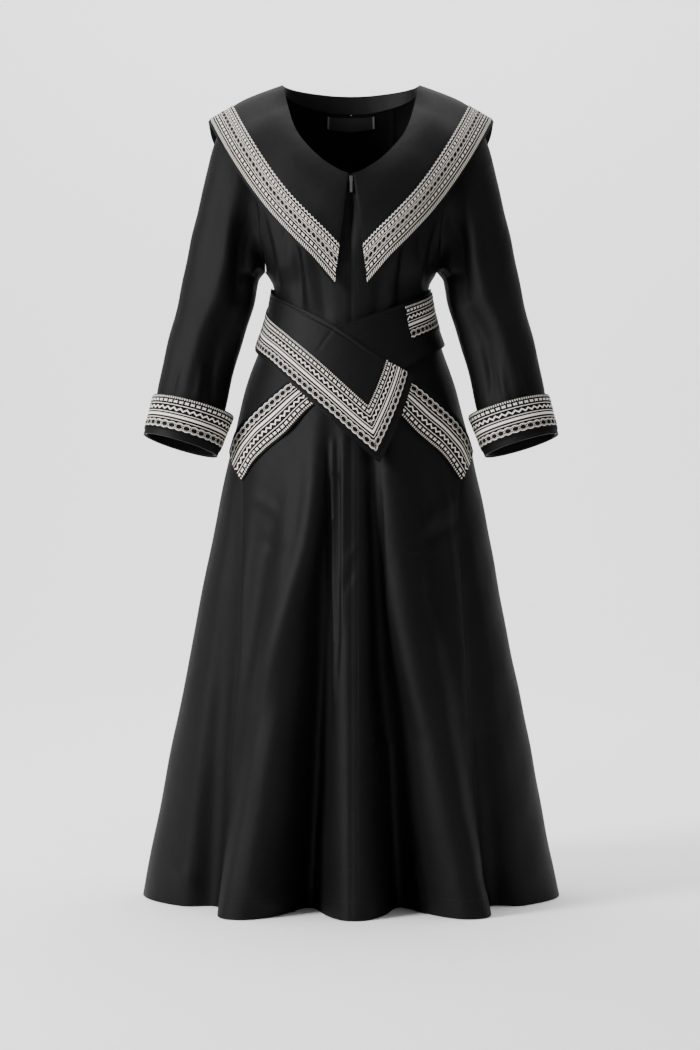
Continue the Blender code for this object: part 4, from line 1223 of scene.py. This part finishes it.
angles = np.linspace(UNDER_TRIM_START, 90.0, 90)
band_shares = 0.06 + 0.60 * shares[:, None]
angle, height = strip_between(
    angles, smooth_curve(UNDER_TOP), angles, smooth_curve(UNDER_BOTTOM), band_shares
)
points, normals = belt_grid(angle, height)
points = draw_in(points, top=False)
add_band(
    "belt_under_band", "trim_belt_under", points, normals, shares, distance_along(points[-1]), sewn_band,
    BAND_ROWS, BELT_BAND_WIDTH,
)
trim_first, trim_last = np.moveaxis(back_trim_at(back_angles), -1, 0)
height = trim_first * (1 - shares[:, None]) + trim_last * shares[:, None]
points, normals = belt_grid(np.broadcast_to(back_angles, height.shape), height)
points = draw_in(points, top=False)
add_band(
    "belt_back_band", "trim_belt_back", points, normals, shares, distance_along(points[-1]), sewn_band,
    BAND_ROWS, BELT_BAND_WIDTH,
)

# %% [markdown]
# ## Pocket welts
# Each slanted pocket has a wide welt that gapes a little along its upper edge. It lies on the skirt, so its
# points are the skirt's own, lifted off it by a distance that grows towards the opening.

# %% Pocket sizes and pieces
# Place, angle and height of the upper edge, angle and height of the lower edge
WELT = (
    (0.0, 22.0, -0.470, 8.0, -0.515),
    (0.2, 36.0, -0.500, 20.0, -0.543),
    (0.4, 50.0, -0.530, 32.0, -0.585),
    (0.6, 65.0, -0.563, 43.0, -0.6135),
    (0.8, 74.0, -0.590, 50.5, -0.636),
    (1.0, 75.5, -0.612, 57.0, -0.663),
)
WELT_LIFT = 0.0012
WELT_GAPE = 0.0040
welt_at = smooth_curve(WELT)


def welt_grid(sign, rows):
    """Points and normals of a welt. Rows are shares from its upper edge to its lower one."""
    place = np.linspace(0, 1, 110)
    top_angle, top, bottom_angle, bottom = np.moveaxis(welt_at(place), -1, 0)
    row = rows[:, None]
    angle = sign * (top_angle * (1 - row) + bottom_angle * row)
    height = top * (1 - row) + bottom * row
    points = skirt_point(-1, angle, height)
    normals = surface_normals(lambda a, h: skirt_point(-1, a, h), angle, height, on_axis(points))
    push = np.maximum(body_push(points), 0)
    lift = WELT_LIFT + CLOTH + WELT_GAPE * (1 - row) ** 2 + push
    return points + normals * lift[..., None], normals


for side, sign in SIDES.items():
    points, normals = welt_grid(sign, np.linspace(0, 1, 40))
    sewn_piece(f"pocket_welt_{side}_cloth", f"pocket_welt_{side}", points, normals, CLOTH, cloth)
    points, normals = welt_grid(sign, 0.06 + 0.91 * shares)
    add_band(
        f"pocket_band_{side}", f"trim_pocket_{side}", points, normals, 1 - shares,
        distance_along(points[len(points) // 2]), sewn_band, BAND_ROWS, CUFF_WIDTH,
    )

# %% [markdown]
# ## Zip and label
# The zip is concealed: behind the two fronts runs its tape with the coil, and only the small slider and
# its pull show between the collar's points. The label inside the back neck is bare.

# %% Zip
ZIP_END = -0.95
TAPE_HALF = 0.012
LAY = 0.0006
COIL_HEIGHT = 0.0008
COIL_HALF = 0.0018
zip_heights = heights[(heights > ZIP_END) & (heights < -0.02)]
tape_points, tape_normals = panel_grid(-1, np.linspace(-0.12, 0.12, 25), zip_heights)
centre_line = tape_points[:, 12:13]
centre_normals = np.broadcast_to(tape_normals[:, 12:13], tape_points.shape)
offsets = np.linspace(-TAPE_HALF, TAPE_HALF, 25)
across = unit(tape_points[:, 13:14] - tape_points[:, 11:12])
coil = COIL_HEIGHT * np.exp(-((offsets / COIL_HALF) ** 2))
depth = CLOTH + LAY + 2.2 * WAVER + SEAM_DIP
tape = centre_line + across * offsets[None, :, None] - centre_normals * (depth - coil[None, :, None])
sewn_piece("zip_tape_cloth", "zip_tape", tape, centre_normals, TRIM, cloth)
for name in ("zip_slider", "zip_pull"):
    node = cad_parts[name]
    node.data.materials.clear()
    node.data.materials.append(metal)

# %% [markdown]
# ## The label
# A woven label is sewn inside the back neck. It is bare, with a lighter bar at each end, and it is the
# back's own surface moved inwards, as it lies when it is sewn flat.

# %% Label
LABEL_HALF_WIDTH = 0.038
LABEL_ROWS = (-0.0285, -0.0045)
LABEL_LAY = 0.0013
LABEL_BAR = 0.93
label_material, n, shader = new_material("woven label", 0.45)
label_uv = n.add("ShaderNodeUVMap", uv_map="UVMap").outputs[0]
split = n.add("ShaderNodeSeparateXYZ")
n.feed(split.inputs[0], label_uv)
bars = n.math("GREATER_THAN", n.math("ABSOLUTE", split.outputs[0]), LABEL_BAR)
n.feed(shader.inputs["Base Color"], n.mix(bars, (0.004, 0.004, 0.004, 1.0), (0.16, 0.16, 0.16, 1.0)))
weave = n.math("SINE", n.math("MULTIPLY", split.outputs[1], 260.0))
bump(n, shader, weave, 0.0001, 0.3)
half = LABEL_HALF_WIDTH / ROLL_HALF_WIDTH * NECK_SHARE
columns = np.linspace(-half, half, 49)
points, normals = panel_grid(1, columns, np.linspace(*LABEL_ROWS, 13))
points = points + normals * (soft_waver(points)[..., None] - CLOTH - LABEL_LAY)
uv = np.stack(np.broadcast_arrays(columns[None] / half, np.linspace(0, 1, 13)[:, None]), -1)
sewn_piece("neck_label_cloth", "neck_label", points, normals, TRIM, label_material, uv=uv)

# %% [markdown]
# ## Topstitching
# Rows of black stitches hold the pocket bags, the belt's upper edges, the collar's edge and the placket.
# They are nearly the colour of the cloth, and what shows is their roundness and the furrow beside them.
# Each stitch is an octahedron drawn out along the line: eight faces are enough at this size.

# %% Stitch helper
STITCH = 0.0030
STITCH_STEP = 0.0040
STITCH_HALF = 0.00035


def stitch_line(points, normals):
    """Vertices and faces of stitches along a line. The line is cut at equal steps, and each stitch has its
    two ends on it and four corners round its middle, half sunk in the cloth."""
    distance = distance_along(points)
    count = int(distance[-1] / STITCH_STEP)
    middle = (np.arange(count) + 0.5) * STITCH_STEP

    def at(values, where):
        return np.stack([np.interp(where, distance, values[:, i]) for i in range(3)], -1)

    first, last = at(points, middle - STITCH / 2), at(points, middle + STITCH / 2)
    up = unit(at(normals, middle))
    aside = unit(np.cross(last - first, up))
    centre = (first + last) / 2
    corners = [centre + aside * STITCH_HALF, centre + up * STITCH_HALF]
    corners += [centre - aside * STITCH_HALF, centre - up * STITCH_HALF]
    vertices = np.stack([first, last, *corners], 1).reshape(-1, 3)
    base = np.array([(0, 2, 3), (0, 3, 4), (0, 4, 5), (0, 5, 2), (1, 3, 2), (1, 4, 3), (1, 5, 4), (1, 2, 5)])
    faces = (base[None] + 6 * np.arange(count)[:, None, None]).reshape(-1, 3)
    return vertices, faces


def add_stitches(name, lines):
    """One object from the stitches of several lines."""
    vertices, faces, count = [], [], 0
    for points, normals in lines:
        line_vertices, line_faces = stitch_line(points, normals)
        vertices.append(line_vertices)
        faces.append(line_faces + count)
        count += len(line_vertices)
    made = mesh_object(name, np.concatenate(vertices), np.concatenate(faces), stitch_thread,
                       np.concatenate(vertices)[:, [0, 2]])
    print(name, len(made.data.polygons) // 8, "stitches")


def on_front(x, z):
    """Points and normals of the front where it shows at these x and z. The column is read from a fine row
    of columns at each height, because x grows steadily with it."""
    columns = np.linspace(-1, 1, 401)
    grid = body_point(-1, *np.broadcast_arrays(columns[None], z[:, None]))
    column = np.array([np.interp(value, row, columns) for value, row in zip(x, grid[..., 0])])
    points = body_point(-1, column, z)
    normals = surface_normals(lambda c, h: body_point(-1, c, h), column, z, on_axis(points))
    return points + normals * body_push(points)[:, None], normals


# %% Pocket bags, placket, belt and collar
# x and z along the pocket bag's stitching on the left, from the welt to the centre
POCKET_BAG = (
    (-0.170, -0.690), (-0.163, -0.722), (-0.148, -0.752), (-0.130, -0.775),
    (-0.102, -0.783), (-0.074, -0.770), (-0.042, -0.745),
)
t = np.linspace(0, 1, 160)
bag = np.array(POCKET_BAG)
bag_at = smooth_curve([(i / (len(bag) - 1), *row) for i, row in enumerate(bag)])
bag_x, bag_z = np.moveaxis(bag_at(t), -1, 0)
add_stitches("pocket_stitching", [on_front(bag_x, bag_z), on_front(-bag_x, bag_z)])
PLACKET_HALF = 0.0115
HEM_ROW = 4
BELT_ROW = 6
z = np.linspace(-0.17, -1.34, 500)
placket = [on_front(np.full(z.shape, offset), z) for offset in (-PLACKET_HALF, PLACKET_HALF)]
add_stitches("placket_stitching", placket)
hem_lines = []
for grid in panels.values():
    line = grid[HEM_ROW]
    hem_normals = unit(np.cross(np.gradient(line, axis=0), grid[HEM_ROW + 1] - line))
    outwards = np.sum(hem_normals * line * np.array([1.0, 1.0, 0.0]), -1, keepdims=True)
    hem_lines.append((line, hem_normals * np.sign(outwards)))
add_stitches("hem_stitching", hem_lines)
belt_lines = [(over[BELT_ROW], over_normals[BELT_ROW]), (under[BELT_ROW], under_normals[BELT_ROW])]
add_stitches("belt_stitching", belt_lines)
line, line_normals = collar[-2], collar_normals[-2]
add_stitches("collar_stitching", [(line, line_normals), (mirror(line), mirror(line_normals))])

# %% [markdown]
# ## Floor, light and camera
# The dress is seen straight from the front, from the height of its middle, in a pale studio. A large soft
# light stands at the front left, a weaker one fills from the right, and the backdrop is a plain wall.

# %% Floor and backdrop
FLOOR = HEM - 0.001
FLOOR_COLOUR = (0.95, 0.95, 0.95, 1.0)
WALL_START = 5.2
WALL_CURVE = 1.6
WALL_TOP = 6.0
WIDTH = 12.0
sweep = np.linspace(0, np.pi / 2, 24)
profile = np.concatenate([
    [[-7.0, FLOOR]],
    np.stack([WALL_START + WALL_CURVE * np.sin(sweep), FLOOR + WALL_CURVE * (1 - np.cos(sweep))], -1),
    [[WALL_START + WALL_CURVE, WALL_TOP]],
])
x = np.array([-WIDTH, WIDTH])
vertices = np.stack(np.broadcast_arrays(x[None], profile[:, :1], profile[:, 1:]), -1).reshape(-1, 3)
index = np.arange(len(vertices)).reshape(-1, 2)
faces = np.stack([index[:-1, 0], index[:-1, 1], index[1:, 1], index[1:, 0]], -1)
mesh = bpy.data.meshes.new("studio")
mesh.from_pydata(vertices, [], faces)
mesh.shade_smooth()
studio = bpy.data.objects.new("studio", mesh)
bpy.context.collection.objects.link(studio)
studio_material, n, shader = new_material("studio paper", 0.9)
shader.inputs["Base Color"].default_value = FLOOR_COLOUR
shader.inputs["Specular IOR Level"].default_value = 0.2
mesh.materials.append(studio_material)

# %% [markdown]
# ## Light
# Black cloth shows its folds only by what it reflects. One large soft light at the front left draws
# them, a weak one keeps the other side from going black, and two washes brighten the wall and the floor.

# %% Lights


def soft_light(name, place, aim, size, power):
    """A rectangle of light at a place, turned to face the aim: yaw and pitch are those of the way there."""
    data = bpy.data.lights.new(name, "AREA")
    data.shape = "RECTANGLE"
    data.size, data.size_y = size
    data.energy = power
    light = bpy.data.objects.new(name, data)
    way = np.array(aim) - np.array(place)
    light.location = place
    yaw = math.atan2(way[1], way[0]) - math.pi / 2
    pitch = math.atan2(way[2], math.hypot(way[0], way[1])) + math.pi / 2
    light.rotation_euler = (pitch, 0.0, yaw)
    bpy.context.collection.objects.link(light)


soft_light("key", (-3.1, -2.0, 1.0), (0.0, 0.0, -0.6), (1.1, 1.7), 270.0)
soft_light("fill", (3.0, -3.2, 0.4), (0.0, 0.0, -0.7), (2.0, 2.2), 18.0)
soft_light("wall wash", (0.0, 3.8, 3.4), (0.0, 6.8, 0.0), (8.0, 1.0), 390.0)
soft_light("floor wash", (0.0, 1.2, 3.0), (0.0, 0.8, -1.4), (5.0, 3.0), 300.0)
world = bpy.data.worlds.new("studio air")
world.use_nodes = True
world.node_tree.nodes["Background"].inputs["Color"].default_value = (1.0, 1.0, 1.0, 1.0)
world.node_tree.nodes["Background"].inputs["Strength"].default_value = 0.20
bpy.context.scene.world = world

# %% [markdown]
# ## Camera
# The camera looks level at the middle of the dress, from far enough away that the hem isn't widened. Its
# upright angle is fixed, so the framing doesn't change with the picture's width.

# %% Camera
CAMERA_DISTANCE = 3.9
CAMERA_HEIGHT = -0.736
CAMERA_X = -0.0017
VIEW_HEIGHT_DEGREES = 25.8
camera_data = bpy.data.cameras.new("camera")
camera_data.sensor_fit = "VERTICAL"
camera_data.angle = math.radians(VIEW_HEIGHT_DEGREES)
camera = bpy.data.objects.new("camera", camera_data)
camera.location = (CAMERA_X, -CAMERA_DISTANCE, CAMERA_HEIGHT)
camera.rotation_euler = (math.pi / 2, 0.0, 0.0)
bpy.context.collection.objects.link(camera)
bpy.context.scene.camera = camera

# %% Sizes, and the end
print("pieces", len(pieces_made))
